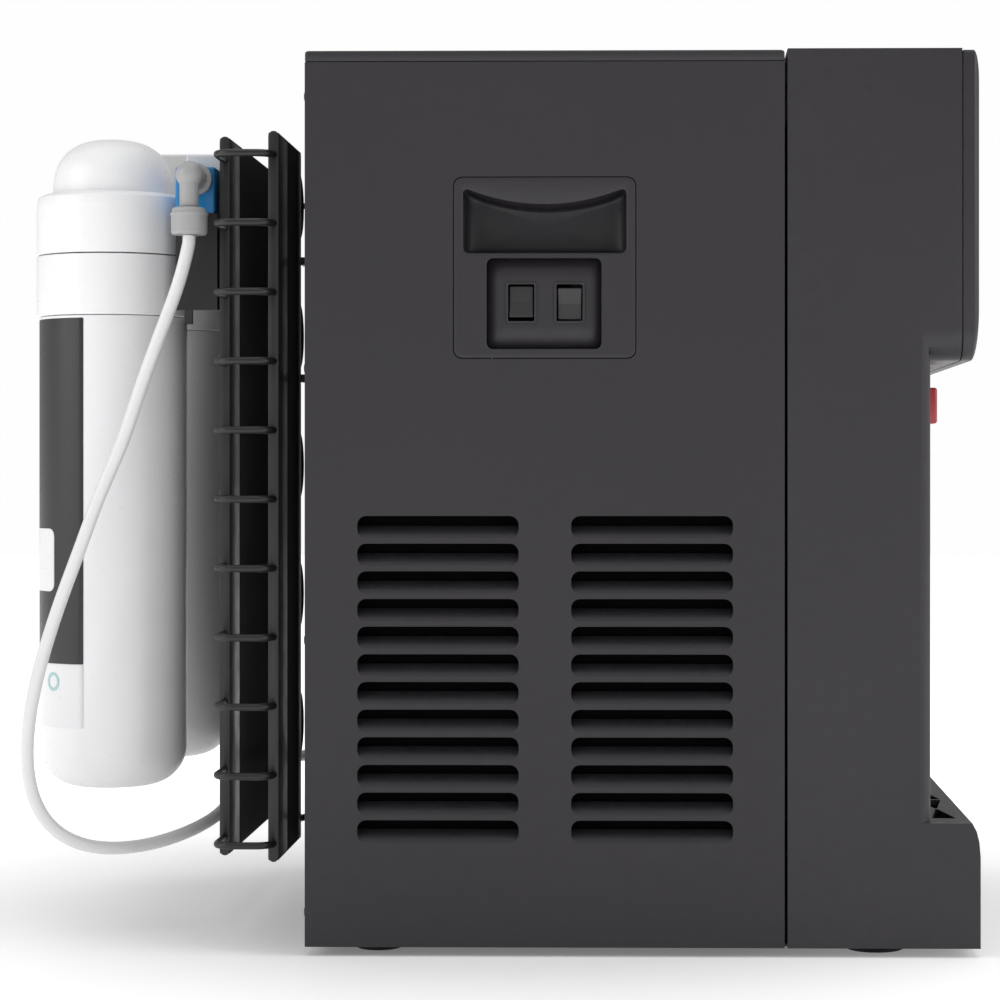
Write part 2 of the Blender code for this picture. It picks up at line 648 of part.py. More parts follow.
# --- filters and water line ---------------------------------------------------------------------------
def filters():
    for side, y in (("near", FILTER_Y[0]), ("far", FILTER_Y[1])):
        dome = [
            (0.0302 * math.sin(math.radians(angle)), 0.3705 + 0.0281 * math.cos(math.radians(angle)))
            for angle in range(0, 91, 15)
        ]
        collar = [(0.0345, 0.3700), (0.0374, 0.3680), (COLLAR_RADIUS, 0.3645)]
        head = [*dome, *collar, (COLLAR_RADIUS, FILTER_SEAM_Z + GAP), (0, FILTER_SEAM_Z + GAP)]
        turned(f"{side}_filter_head", head, (FILTER_X, y, 0), WHITE_PLASTIC, steps=28)
        top = FILTER_SEAM_Z - GAP
        ring = [(0.0330, top), (COLLAR_RADIUS, top), (COLLAR_RADIUS, RING_LOW_Z), (0.0330, RING_LOW_Z)]
        turned(f"{side}_filter_ring", ring, (FILTER_X, y, 0), WHITE_PLASTIC, steps=28)
        corner = [
            (0.0167 + 0.0200 * math.cos(math.radians(angle)), 0.0927 - 0.0200 * math.sin(math.radians(angle)))
            for angle in range(0, 91, 18)
        ]
        shoulder = RING_LOW_Z - GAP
        neck = [(0, top), (0.0325, top), (0.0325, shoulder), (0.0367, shoulder)]
        body = [*neck, *corner, (0.0117, 0.0727), (0.0117, 0.0719), (0, 0.0719)]
        turned(f"{side}_filter_cartridge", body, (FILTER_X, y, 0), WHITE_PLASTIC, steps=28)


def filter_mount():
    """The black bracket behind the condenser, the white manifold and its blue port."""
    bracket = box("filter_bracket", (-0.1400, -0.1015, 0.3110), (-0.1375, 0.1015, 0.3590), BLACK_PLASTIC)
    for side in (-1, 1):
        ends = sorted((side * 0.0985, side * 0.1015))
        join(bracket, box(f"bracket_side_{side}", (-0.1583, ends[0], 0.3110), (-0.1380, ends[1], 0.3590)))
    join(bracket, box("bracket_hook", (-0.1540, -0.1010, 0.3040), (-0.1500, -0.0990, 0.3150)))
    manifold = box("filter_manifold", (-0.1560, -0.0857, 0.3610), (-0.1380, 0.0857, 0.3900), WHITE_PLASTIC)
    join(manifold, box("manifold_middle", (-0.1790, -0.0355, 0.3620), (-0.1390, 0.0355, 0.3960)))
    box("port_block", (-0.1583, -0.1030, 0.3593), (-0.1385, -0.0860, 0.3818), BLUE_PLASTIC, bevel=0.001)


def outlet_elbow():
    """Round elbow from the port block down to the hose, and the nut that grips the hose."""
    x, y, z = ELBOW
    leg = [
        (0.0066 * math.sin(math.radians(angle)), 0.0066 * math.cos(math.radians(angle)))
        for angle in range(0, 136, 15)
    ]
    leg += [(0.0047, -0.0065), (0.0047, -0.0158), (0, -0.0158)]
    elbow = turned("outlet_elbow", leg, ELBOW, GREY_PLASTIC, steps=16)
    join(elbow, cylinder("elbow_stem", (x, y, z), (x, -0.1045, z), 0.0056))
    join(elbow, cylinder("elbow_flange", (x, -0.1080, z), (x, -0.1033, z), 0.0079))
    nut = [(0, 0.0133), (0.0080, 0.0133), (0.0092, 0.0122), (0.0092, 0.0010), (0.0084, 0), (0, 0)]
    turned("elbow_nut", nut, (x, y, 0.3460), GREY_PLASTIC, steps=20)


# Places that the hose passes, from under the elbow's nut, round its loop and behind the condenser.
HOSE_ROUTE = (
    (-0.1473, -0.1260, 0.3457), (-0.1482, -0.1262, 0.3360), (-0.1517, -0.1268, 0.3231),
    (-0.1560, -0.1275, 0.3114), (-0.1635, -0.1285, 0.2914), (-0.1722, -0.1295, 0.2666),
    (-0.1782, -0.1302, 0.2463), (-0.1842, -0.1305, 0.2330), (-0.1911, -0.1312, 0.2177),
    (-0.1983, -0.1315, 0.1964), (-0.2081, -0.1315, 0.1710), (-0.2152, -0.1312, 0.1497),
    (-0.2204, -0.1305, 0.1324), (-0.2244, -0.1295, 0.1139), (-0.2268, -0.1275, 0.0885),
    (-0.2226, -0.1240, 0.0653), (-0.2122, -0.1185, 0.0515), (-0.1994, -0.1120, 0.0456),
    (-0.1867, -0.1035, 0.0440), (-0.1714, -0.0920, 0.0448), (-0.1559, -0.0780, 0.0492),
    (-0.1455, -0.0600, 0.0540), (-0.1420, -0.0350, 0.0590), (-0.1418, 0.0000, 0.0635),
    (-0.1418, 0.0450, 0.0655), (-0.1418, 0.0850, 0.0660), (-0.1402, 0.1060, 0.0660),
    (-0.1330, 0.1245, 0.0660), (-0.1210, 0.1365, 0.0660), (-0.1100, 0.1396, 0.0660),
    (-0.1003, 0.1400, 0.0660),
)
HOSE_STEP = 0.0105


def smooth_route(route, spacing):
    """Evenly spaced points on a Catmull-Rom curve through the route's points."""
    places = [Vector(place) for place in route]
    ends = [places[0] * 2 - places[1], *places, places[-1] * 2 - places[-2]]
    fine = []
    for before, first, second, after in zip(ends, ends[1:], ends[2:], ends[3:]):
        for step in range(12):
            t = step / 12
            fine.append(
                0.5 * (2 * first + (second - before) * t
                       + (2 * before - 5 * first + 4 * second - after) * t * t
                       + (3 * first - before - 3 * second + after) * t * t * t)
            )
    fine.append(Vector(route[-1]))
    lengths = [0.0]
    for first, second in zip(fine, fine[1:]):
        lengths.append(lengths[-1] + (second - first).length)
    count = round(lengths[-1] / spacing)
    points, index = [], 0
    for step in range(count):
        goal = lengths[-1] * step / count
        while lengths[index + 1] < goal:
            index += 1
        share = (goal - lengths[index]) / (lengths[index + 1] - lengths[index])
        points.append(tuple(fine[index].lerp(fine[index + 1], share)))
    return [*points, tuple(route[-1])]


# --- assembly -----------------------------------------------------------------------------------------
clear_scene()
PARTS = new_collection("water_dispenser")
CUTTERS = new_collection("cutters")

BLACK_PLASTIC = finish("black_plastic", (0.042, 0.040, 0.043), 0.45)
BLACK_METAL = finish("black_metal", (0.020, 0.020, 0.021), 0.40, 0.3)
ROCKER_BLACK = finish("rocker_black", (0.024, 0.023, 0.025), 0.35)
GREY_PLASTIC = finish("grey_plastic", (0.36, 0.36, 0.36), 0.40)
WHITE_PLASTIC = finish("white_plastic", (0.80, 0.80, 0.81), 0.30)
BLUE_PLASTIC = finish("blue_plastic", (0.02, 0.24, 0.55), 0.35)
RED_PLASTIC = finish("red_plastic", (0.45, 0.03, 0.04), 0.35)
DARK_GLASS = finish("dark_glass", (0.010, 0.010, 0.012), 0.08)
RUBBER = finish("rubber", (0.015, 0.015, 0.015), 0.80)
STEEL = finish("steel", (0.60, 0.60, 0.60), 0.30, 1.0)
COPPER = finish("copper", (0.70, 0.35, 0.22), 0.35, 1.0)
FOAM = finish("foam", (0.75, 0.70, 0.55), 0.90)
BOARD_GREEN = finish("board_green", (0.02, 0.16, 0.06), 0.50)
HOSE_WHITE = finish("hose_white", (0.78, 0.78, 0.79), 0.35)

side_panel("left_side_panel", -1)
side_panel("right_side_panel", 1)
handle_insert("left_handle_insert", -1, True)
handle_insert("right_handle_insert", 1, False)
rocker("heating_switch", ROCKER_X[0], -ROCKER_TILT)
rocker("cooling_switch", ROCKER_X[1], ROCKER_TILT)
top_cover()
rear_panel()
base_and_feet()
rear_fittings()
front_housing()
control_fascia()
taps()
levers()
drip_tray()
drip_grille()
inside()
condenser()
filters()
filter_mount()
outlet_elbow()
pipe("water_hose", smooth_route(HOSE_ROUTE, HOSE_STEP), HOSE_RADIUS, HOSE_WHITE)
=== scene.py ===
"""Looks of a countertop water dispenser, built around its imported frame.

Metres, +Z up: +X points to the taps and -Y to the left side. Each class makes one sub-assembly, and every
piece rides on a body of the frame.
"""

import logging
import math
from collections.abc import Callable, Sequence
from dataclasses import dataclass, field
from enum import Enum
from functools import cache
from typing import Union

import bmesh
import bpy
import numpy as np
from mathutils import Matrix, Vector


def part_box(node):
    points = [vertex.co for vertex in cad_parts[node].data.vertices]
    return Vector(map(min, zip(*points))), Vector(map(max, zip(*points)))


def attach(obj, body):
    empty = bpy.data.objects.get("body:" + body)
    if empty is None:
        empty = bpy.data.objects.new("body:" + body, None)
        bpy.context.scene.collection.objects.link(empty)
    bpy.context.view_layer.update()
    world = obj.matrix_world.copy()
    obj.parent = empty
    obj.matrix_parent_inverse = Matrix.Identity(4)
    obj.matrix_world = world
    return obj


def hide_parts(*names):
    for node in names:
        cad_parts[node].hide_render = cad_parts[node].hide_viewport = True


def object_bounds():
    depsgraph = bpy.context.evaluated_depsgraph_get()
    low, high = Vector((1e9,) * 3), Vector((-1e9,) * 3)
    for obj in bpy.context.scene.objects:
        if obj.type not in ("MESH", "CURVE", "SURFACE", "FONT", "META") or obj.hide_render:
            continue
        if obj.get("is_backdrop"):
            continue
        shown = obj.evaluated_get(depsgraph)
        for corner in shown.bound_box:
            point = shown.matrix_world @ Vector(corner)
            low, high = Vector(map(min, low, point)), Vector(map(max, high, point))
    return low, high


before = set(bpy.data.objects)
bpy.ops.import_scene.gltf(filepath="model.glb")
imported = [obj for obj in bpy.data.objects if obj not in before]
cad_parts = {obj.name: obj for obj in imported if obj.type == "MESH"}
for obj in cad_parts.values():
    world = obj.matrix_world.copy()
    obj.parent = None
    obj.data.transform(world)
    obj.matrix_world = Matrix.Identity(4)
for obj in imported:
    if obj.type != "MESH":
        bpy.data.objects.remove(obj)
CAD_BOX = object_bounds()
LOG = logging.getLogger("water_dispenser")

ROUNDED_FROM = 60.0               # least angle in degrees of an edge that is rounded
MERGE = 2e-6                      # points nearer than this become one
CORNER_STEPS = 3                  # grid steps over half of a rounded corner
FULL_TURN = 2 * math.pi
Place = Callable[[np.ndarray, np.ndarray, np.ndarray], np.ndarray]
Box = tuple[float, float, float, float]   # low u, high u, low v, high v
Socket = bpy.types.NodeSocket
Group = bpy.types.NodeTree
Value = Union[Socket, float]
Tint = Union[Socket, tuple[float, float, float]]
OPEN_ENDS = (False, False)
FLOOR_LINES = 13
SPAN_STEPS = 24
RELAX_PASSES = 18
LABEL_COLUMNS = 41
MARK_STEPS = 40


class Body(Enum):
    """The frame's bodies that pieces ride on."""

    CABINET = "cabinet"
    NEAR_RING = "near_ring"
    NEAR_CARTRIDGE = "near_cartridge"
    FAR_RING = "far_ring"
    FAR_CARTRIDGE = "far_cartridge"
    HOT_LEVER = "hot_lever"
    HOT_SLIDE = "hot_slide"
    ROOM_LEVER = "room_lever"
    COLD_LEVER = "cold_lever"
    HEATING_ROCKER = "heating_rocker"
    COOLING_ROCKER = "cooling_rocker"
    DRIP_TRAY = "drip_tray"
    DRIP_GRILLE = "drip_grille"


class Plane(Enum):
    """Which world axes an outline's u and v run along, and which axis its height w runs along."""

    TOP = (0, 1, 2)
    SIDE = (0, 2, 1)
    FRONT = (1, 2, 0)

    def place(self, u: np.ndarray, v: np.ndarray, w: np.ndarray) -> np.ndarray:
        """Puts u, v and w on their world axes.

        Args:
            u: first coordinate in the plane.
            v: second coordinate in the plane.
            w: height over the plane.

        Returns:
            World points, with x, y and z in the last axis.
        """
        stacked = np.stack(np.broadcast_arrays(u, v, w), -1).astype(float)
        points = np.empty_like(stacked)
        points[..., list(self.value)] = stacked
        return points


class Axis(Enum):
    """The direction in which a turned piece's height runs."""

    UP = "up"
    REAR = "rear"
    LEFT = "left"

    def place(self, across: np.ndarray, around: np.ndarray, height: np.ndarray) -> np.ndarray:
        """Turns a piece's own coordinates to the axis.

        Args:
            across: coordinate square to the axis.
            around: the other coordinate square to the axis.
            height: coordinate along the axis.

        Returns:
            Points about the world's origin.
        """
        across, around, height = np.broadcast_arrays(across, around, height)
        order = {
            Axis.UP: (across, around, height),
            Axis.REAR: (-height, across, around),
            Axis.LEFT: (across, -height, around),
        }
        return np.stack(order[self], -1)


# --- surface formulas ---------------------------------------------------------------------------------
def grid_quads(rows: int, columns: int, wrap: bool = False) -> np.ndarray:
    """The four corners of each cell of a grid of points.

    Args:
        rows: rows of points.
        columns: points in a row.
        wrap: whether a row's last point joins its first.

    Returns:
        Point numbers, one row of four for each cell.
    """
    row, column = np.meshgrid(np.arange(rows - 1), np.arange(columns - (not wrap)), indexing="ij")
    here = row * columns + column
    right = row * columns + (column + 1) % columns
    return np.stack([here, right, right + columns, here + columns], -1).reshape(-1, 4)


def eased(corners: Sequence, radius: float, steps: int = 4, closed: bool = False) -> np.ndarray:
    """A polyline with eased corners.

    Each corner becomes the quadratic curve (1-t)^2 A + 2t(1-t) C + t^2 B, where C is the corner and A and B
    lie on its two sides at the radius from it, or nearer where a side is short.

    Args:
        corners: points of two coordinates.
        radius: distance from a corner at which its curve begins.
        steps: points on each curve.
        closed: whether the last point joins the first.

    Returns:
        The eased line's points.
    """
    corner = np.asarray(corners, float)
    before, after = np.roll(corner, 1, 0) - corner, np.roll(corner, -1, 0) - corner
    length_before = np.linalg.norm(before, axis=1, keepdims=True)
    length_after = np.linalg.norm(after, axis=1, keepdims=True)
    reach = np.minimum(radius, 0.45 * np.minimum(length_before, length_after))
    start, end = corner + before / length_before * reach, corner + after / length_after * reach
    t = np.linspace(0, 1, steps)[None, :, None]
    curve = (1 - t) ** 2 * start[:, None] + 2 * t * (1 - t) * corner[:, None] + t**2 * end[:, None]
    if closed:
        return curve.reshape(-1, 2)
    return np.vstack([corner[:1], curve[1:-1].reshape(-1, 2), corner[-1:]])


def eased_box(low_u: float, high_u: float, low_v: float, high_v: float, radius: float) -> np.ndarray:
    """An anticlockwise rectangle with eased corners.

    Args:
        low_u: left side.
        high_u: right side.
        low_v: lower side.
        high_v: upper side.
        radius: reach of the corners' curves.

    Returns:
        The outline's points.
    """
    corners = [(low_u, low_v), (high_u, low_v), (high_u, high_v), (low_u, high_v)]
    return eased(corners, radius, 6, closed=True)


def quarter_round(radius: float, low: float, high: float, steps: int = 4) -> np.ndarray:
    """A rounded edge as insets and heights: radius (1 - cos a) inwards while the height rises with sin a.

    Args:
        radius: how far the edge draws in.
        low: height at which it starts.
        high: height at which it ends.
        steps: points on it.

    Returns:
        Pairs of inset and height.
    """
    angle = np.linspace(0, math.pi / 2, steps)
    return np.column_stack([radius * (1 - np.cos(angle)), low + (high - low) * np.sin(angle)])


def ring_stack(outline: np.ndarray, profile: Sequence, place: Place) -> np.ndarray:
    """Rings of an outline drawn in step by step.

    Ring k is middle + (outline - middle) (1 - inset_k / half), which moves each side in by inset_k.

    Args:
        outline: closed outline of u and v.
        profile: rows of inset and height, or of inset in u, inset in v and height.
        place: takes u, v and height to world points.

    Returns:
        World points in rings.
    """
    steps = np.asarray(profile, float)
    insets = steps[:, None, :-1] * np.ones(2)
    low, high = outline.min(0), outline.max(0)
    middle, half = (low + high) / 2, (high - low) / 2
    flat = middle + (outline - middle)[None] * (1 - insets / half)
    return place(flat[..., 0], flat[..., 1], np.broadcast_to(steps[:, -1:], flat.shape[:2]))


def turned(profile: np.ndarray, centre: Sequence, axis: Axis = Axis.UP, steps: int = 48) -> np.ndarray:
    """Rings of a turned piece: (r cos a, r sin a, h) for each radius r and height h of the profile.

    Args:
        profile: rows of radius and height.
        centre: world place of the profile's zero.
        axis: direction of its height.
        steps: points in a ring.

    Returns:
        World points in rings.
    """
    angle = np.linspace(0, FULL_TURN, steps, endpoint=False)
    radius, height = profile[:, :1], profile[:, 1:]
    return np.asarray(centre, float) + axis.place(radius * np.cos(angle), radius * np.sin(angle), height)


def carried_sides(path: np.ndarray) -> tuple[np.ndarray, np.ndarray]:
    """Two unit vectors square to a path at each station.

    The first is the last station's, less its part along the new direction, so it turns no more than the path.

    Args:
        path: stations.

    Returns:
        The two vectors at each station.
    """
    ahead = np.gradient(path, axis=0)
    ahead /= np.linalg.norm(ahead, axis=1, keepdims=True)
    side = np.empty_like(path)
    side[0] = np.cross(ahead[0], (0.31, 0.74, 0.59))
    side[0] /= np.linalg.norm(side[0])
    for station in range(1, len(path)):
        kept = side[station - 1] - ahead[station] * (side[station - 1] @ ahead[station])
        side[station] = kept / np.linalg.norm(kept)
    return side, np.cross(ahead, side)


def tube_rings(path: np.ndarray, radius: float | np.ndarray, steps: int = 12) -> np.ndarray:
    """Rings of a round tube: path + r (cos a side + sin a up) at each station.

    Args:
        path: stations of the tube's middle.
        radius: one radius, or one for each station.
        steps: points in a ring.

    Returns:
        World points in rings.
    """
    side, up = carried_sides(path)
    angle = np.linspace(0, FULL_TURN, steps, endpoint=False)[None, :, None]
    reach = np.broadcast_to(radius, len(path))[:, None, None]
    return path[:, None] + reach * (np.cos(angle) * side[:, None] + np.sin(angle) * up[:, None])


def bend(middle: Sequence, radius: float, first: Sequence, second: Sequence, start: float, sweep: float,
         points: int = 9) -> np.ndarray:
    """Points of a circular bend: middle + r (cos a first + sin a second).

    Args:
        middle: the bend's centre.
        radius: its radius.
        first: unit axis at angle 0.
        second: unit axis at angle 90.
        start: first angle in degrees.
        sweep: angle turned in degrees.
        points: how many.

    Returns:
        The bend's points.
    """
    angle = np.radians(np.linspace(start, start + sweep, points))[:, None]
    turn = np.cos(angle) * np.asarray(first, float) + np.sin(angle) * np.asarray(second, float)
    return np.asarray(middle, float) + radius * turn


def smooth_route(places: Sequence, spacing: float) -> np.ndarray:
    """Evenly spaced points on a Catmull-Rom curve through a route's places, then relaxed.

    Each pass of the relaxing takes a point to (before + 2 point + after) / 4, which evens out the bends.

    Args:
        places: places the curve passes.
        spacing: distance between points.

    Returns:
        Points on the curve, from the first place to the last.
    """
    knot = np.asarray(places, float)
    knot = np.vstack([2 * knot[0] - knot[1], knot, 2 * knot[-1] - knot[-2]])
    a, b, c, d = (knot[k : len(knot) - 3 + k, None] for k in range(4))
    t = np.linspace(0, 1, SPAN_STEPS, endpoint=False)[None, :, None]
    spans = 0.5 * (2 * b + (c - a) * t + (2 * a - 5 * b + 4 * c - d) * t**2 + (3 * b - a - 3 * c + d) * t**3)
    fine = np.vstack([spans.reshape(-1, 3), knot[-2]])
    reached = np.concatenate([[0], np.cumsum(np.linalg.norm(np.diff(fine, axis=0), axis=1))])
    goals = np.linspace(0, reached[-1], round(reached[-1] / spacing) + 1)
    even = np.column_stack([np.interp(goals, reached, fine[:, k]) for k in range(3)])
    for _ in range(RELAX_PASSES):
        even[2:-2] = (even[1:-3] + 2 * even[2:-2] + even[3:-1]) / 4
    return even


# --- meshes -------------------------------------------------------------------------------------------
class Skin:
    """Gathers a piece's patches and puts them into one mesh."""

    def __init__(self) -> None:
        """Starts with no patches."""
        self.points: list[np.ndarray] = []
        self.faces: list[list[int]] = []
        self.count = 0

    def add(self, points: np.ndarray, faces: np.ndarray) -> "Skin":
        """Adds points and the faces between them.

        Args:
            points: world points.
            faces: point numbers within these points.

        Returns:
            This skin.
        """
        flat = points.reshape(-1, 3)
        self.points.append(flat)
        self.faces += (faces + self.count).tolist()
        self.count += len(flat)
        return self

    def add_rings(self, rings: np.ndarray, caps: tuple[bool, bool] = (True, True)) -> "Skin":
        """Adds the quads between closed rings, and fans that close the first and the last ring.

        Args:
            rings: world points in rings.
            caps: whether the first and the last ring are closed.

        Returns:
            This skin.
        """
        count, around = rings.shape[:2]
        self.add(rings, grid_quads(count, around, wrap=True))
        here = np.arange(around)
        for closed, ring, order in zip(caps, (rings[0], rings[-1]), (-1, 1)):
            if closed:
                fan = np.column_stack([here, np.roll(here, -order), np.full(around, around)])
                self.add(np.vstack([ring, ring.mean(0)]), fan)
        return self

    def mesh(self, name: str, closed: bool = True, flip: bool = False) -> bpy.types.Mesh:
        """Makes the mesh, with its seams and poles merged.

        Args:
            name: the mesh's name.
            closed: whether it is closed, so that its faces can be turned outwards.
            flip: whether an open sheet's faces are turned over.

        Returns:
            The mesh.
        """
        data = bpy.data.meshes.new(name)
        data.from_pydata(np.vstack(self.points).tolist(), [], self.faces)
        work = bmesh.new()
        work.from_mesh(data)
        bmesh.ops.remove_doubles(work, verts=work.verts, dist=MERGE)
        if closed:
            bmesh.ops.recalc_face_normals(work, faces=work.faces)
        elif flip:
            bmesh.ops.reverse_faces(work, faces=work.faces)
        work.to_mesh(data)
        work.free()
        return data


@dataclass
class Opening:
    """A hole in a sheet, inside a tile of the sheet's grid. Boxes are low u, high u, low v, high v."""

    tile: Box
    hole: Box
    radius: float
    lead: float = 0.0012


@dataclass
class PiercedSheet:
    """A flat sheet on a grid of lines, with holes that have rounded corners."""

    box: Box
    openings: list[Opening]
    spare_lines: int = 6

    def lines(self, which: int) -> np.ndarray:
        """The grid's lines along u for which 0, or v for which 2: the sheet's sides, each tile's sides and
        the lines near them that become rounded corners.

        Args:
            which: place of the low side in a box.

        Returns:
            Sorted line positions.
        """
        lead = np.linspace(0, 1, CORNER_STEPS + 1)
        found = [np.linspace(*self.box[which : which + 2], self.spare_lines)]
        for opening in self.openings:
            low, high = opening.tile[which : which + 2]
            found += [low + opening.lead * lead, high - opening.lead * lead]
        return np.unique(np.round(np.concatenate(found), 6))

    def within(self, which: int, low: float, high: float) -> np.ndarray:
        """The lines between two positions, both included."""
        lines = self.lines(which)
        return lines[(lines > low - MERGE) & (lines < high + MERGE)]

    def outline(self, tile: Sequence, box: Sequence, radius: float) -> np.ndarray:
        """An outline with one point for each grid point on a tile's edge.

        The first and last steps of a side run round a corner's arc, and the rest lie along the side in the
        same proportion as the grid's lines.

        Args:
            tile: the tile whose grid points are counted.
            box: the outline's own sides.
            radius: radius of its corners, or 0 for the tile's edge itself.

        Returns:
            Anticlockwise points of u and v.
        """
        u, u_in = self.eased_side(self.within(0, *tile[:2]), box[0], box[1], radius)
        v, v_in = self.eased_side(self.within(2, *tile[2:]), box[2], box[3], radius)
        sides = [
            np.column_stack([u, box[2] + u_in])[:-1],
            np.column_stack([box[1] - v_in, v])[:-1],
            np.column_stack([u, box[3] - u_in])[::-1][:-1],
            np.column_stack([box[0] + v_in, v])[::-1][:-1],
        ]
        return np.vstack(sides)

    @staticmethod
    def eased_side(
        stations: np.ndarray, low: float, high: float, radius: float
    ) -> tuple[np.ndarray, np.ndarray]:
        """One side of an outline.

        Args:
            stations: the grid's lines along the side.
            low: where the side begins.
            high: where it ends.
            radius: radius of its corners, or 0 to keep the stations.

        Returns:
            Positions along the side, and how far each lies inside it.
        """
        if not radius:
            return stations, np.zeros(len(stations))
        last = len(stations) - 1
        index = np.arange(last + 1)
        start = (np.clip(index / CORNER_STEPS, 0, 1) - 1) * math.pi / 4
        end = np.clip((index - last + CORNER_STEPS) / CORNER_STEPS, 0, 1) * math.pi / 4
        first, final = stations[CORNER_STEPS], stations[last - CORNER_STEPS]
        share = np.clip((stations - first) / max(final - first, MERGE), 0, 1)
        along = low + radius + share * (high - low - 2 * radius) + radius * (np.sin(start) + np.sin(end))
        return along, radius * (2 - np.cos(start) - np.cos(end))

    def tile_ring(self, opening: Opening) -> np.ndarray:
        """The edge of an opening's tile."""
        return self.outline(opening.tile, opening.tile, 0)

    def hole_ring(self, opening: Opening) -> np.ndarray:
        """The edge of an opening's hole, with as many points as its tile's edge."""
        return self.outline(opening.tile, opening.hole, opening.radius)

    def add_to(self, skin: Skin, place: Place, with_holes: bool = True) -> None:
        """Adds the sheet's flat cells, and the flat ring from each tile's edge to its hole.

        Args:
            skin: takes the patches.
            place: takes u, v and a height of 0 to world points.
            with_holes: whether the rings are added.
        """
        u, v = np.meshgrid(self.lines(0), self.lines(2))
        quads = grid_quads(*u.shape)
        middle_u, middle_v = u.ravel()[quads].mean(1), v.ravel()[quads].mean(1)
        keep = np.ones(len(quads), bool)
        for opening in self.openings:
            low_u, high_u, low_v, high_v = opening.tile
            inside = (middle_u > low_u) & (middle_u < high_u) & (middle_v > low_v) & (middle_v < high_v)
            keep &= ~inside
        if keep.any():
            skin.add(place(u, v, np.zeros_like(u)), quads[keep])
        for opening in self.openings if with_holes else ():
            rings = np.stack([self.tile_ring(opening), self.hole_ring(opening)])
            skin.add_rings(place(rings[..., 0], rings[..., 1], np.zeros(rings.shape[:2])), OPEN_ENDS)


# --- finishes -----------------------------------------------------------------------------------------
def new_group(name: str, inputs: Sequence, outputs: Sequence) -> tuple:
    """An empty shader group with named sockets.

    Args:
        name: the group's name.
        inputs: rows of socket name, socket type and default value.
        outputs: rows of socket name and socket type.

    Returns:
        The group, its input node and its output node.
    """
    group = bpy.data.node_groups.new(name, "ShaderNodeTree")
    for label, kind, value in inputs:
        socket = group.interface.new_socket(label, in_out="INPUT", socket_type=kind)
        if value is not None:
            socket.default_value = value
    for label, kind in outputs:
        group.interface.new_socket(label, in_out="OUTPUT", socket_type=kind)
    return group, group.nodes.new("NodeGroupInput"), group.nodes.new("NodeGroupOutput")


def add_noise(tree: Group, vector: Socket, scale: Value, detail: float) -> Socket:
    """Adds a noise texture.

    Args:
        tree: takes the node.
        vector: socket of coordinates.
        scale: a socket, or a number.
        detail: octaves.

    Returns:
        Its value socket.
    """
    noise = tree.nodes.new("ShaderNodeTexNoise")
    noise.inputs["Detail"].default_value = detail
    tree.links.new(vector, noise.inputs["Vector"])
    if isinstance(scale, (int, float)):
        noise.inputs["Scale"].default_value = scale
    else:
        tree.links.new(scale, noise.inputs["Scale"])
    return noise.outputs[0]


def add_math(tree: Group, operation: str, first: Value, second: Value, clamp: bool = False) -> Socket:
    """Adds a math node.

    Args:
        tree: takes the node.
        operation: Blender's name of the operation.
        first: a socket, or a number.
        second: a socket, or a number.
        clamp: whether the result is kept between 0 and 1.

    Returns:
        Its value socket.
    """
    node = tree.nodes.new("ShaderNodeMath")
    node.operation, node.use_clamp = operation, clamp
    for socket, value in zip(node.inputs, (first, second)):
        if isinstance(value, (int, float)):
            socket.default_value = value
        else:
            tree.links.new(value, socket)
    return node.outputs[0]


def add_range(tree: Group, value: Socket, low: float, high: float, to_low: float, to_high: float) -> Socket:
    """Adds a node that maps low..high to to_low..to_high.

    Args:
        tree: takes the node.
        value: socket to map.
        low: value that becomes to_low.
        high: value that becomes to_high.
        to_low: least result.
        to_high: greatest result.

    Returns:
        Its value socket.
    """
    node = tree.nodes.new("ShaderNodeMapRange")
    tree.links.new(value, node.inputs[0])
    for socket, number in zip(node.inputs[1:5], (low, high, to_low, to_high)):
        socket.default_value = number
    return node.outputs[0]


def end_with_mask(group: Group, first: Socket, second: Socket, inward: bpy.types.Node,
                  outward: bpy.types.Node) -> Group:
    """Ends a group with a mask: two masks and the group's amount, multiplied.

    Args:
        group: the group.
        first: a mask.
        second: another mask.
        inward: the group's input node.
        outward: the group's output node.

    Returns:
        The group.
    """
    both = add_math(group, "MULTIPLY", first, second)
    mask = add_math(group, "MULTIPLY", both, inward.outputs["Amount"], True)
    group.links.new(mask, outward.inputs["Mask"])
    return group


@cache
def moulded_grain() -> Group:
    """The group for a spark-eroded mould's texture: fine noise over a coarser one, as a height and a mask."""
    sockets = [("Vector", "NodeSocketVector", None), ("Scale", "NodeSocketFloat", 900.0)]
    outputs = [("Height", "NodeSocketFloat"), ("Mask", "NodeSocketFloat")]
    group, inward, outward = new_group("moulded_grain", sockets, outputs)
    fine = add_noise(group, inward.outputs["Vector"], inward.outputs["Scale"], 3.0)
    coarse_scale = add_math(group, "MULTIPLY", inward.outputs["Scale"], 0.21)
    coarse = add_noise(group, inward.outputs["Vector"], coarse_scale, 2.0)
    shares = add_math(group, "MULTIPLY", fine, 0.7), add_math(group, "MULTIPLY", coarse, 0.3)
    height = add_math(group, "ADD", *shares)
    group.links.new(height, outward.inputs["Height"])
    group.links.new(coarse, outward.inputs["Mask"])
    return group


@cache
def tone_drift() -> Group:
    """The group for slow changes of tone over a piece: broad noise stretched to a mask of 0 to 1."""
    sockets = [("Vector", "NodeSocketVector", None), ("Scale", "NodeSocketFloat", 9.0)]
    group, inward, outward = new_group("tone_drift", sockets, [("Mask", "NodeSocketFloat")])
    broad = add_noise(group, inward.outputs["Vector"], inward.outputs["Scale"], 4.0)
    group.links.new(add_range(group, broad, 0.3, 0.7, 0.0, 1.0), outward.inputs["Mask"])
    return group


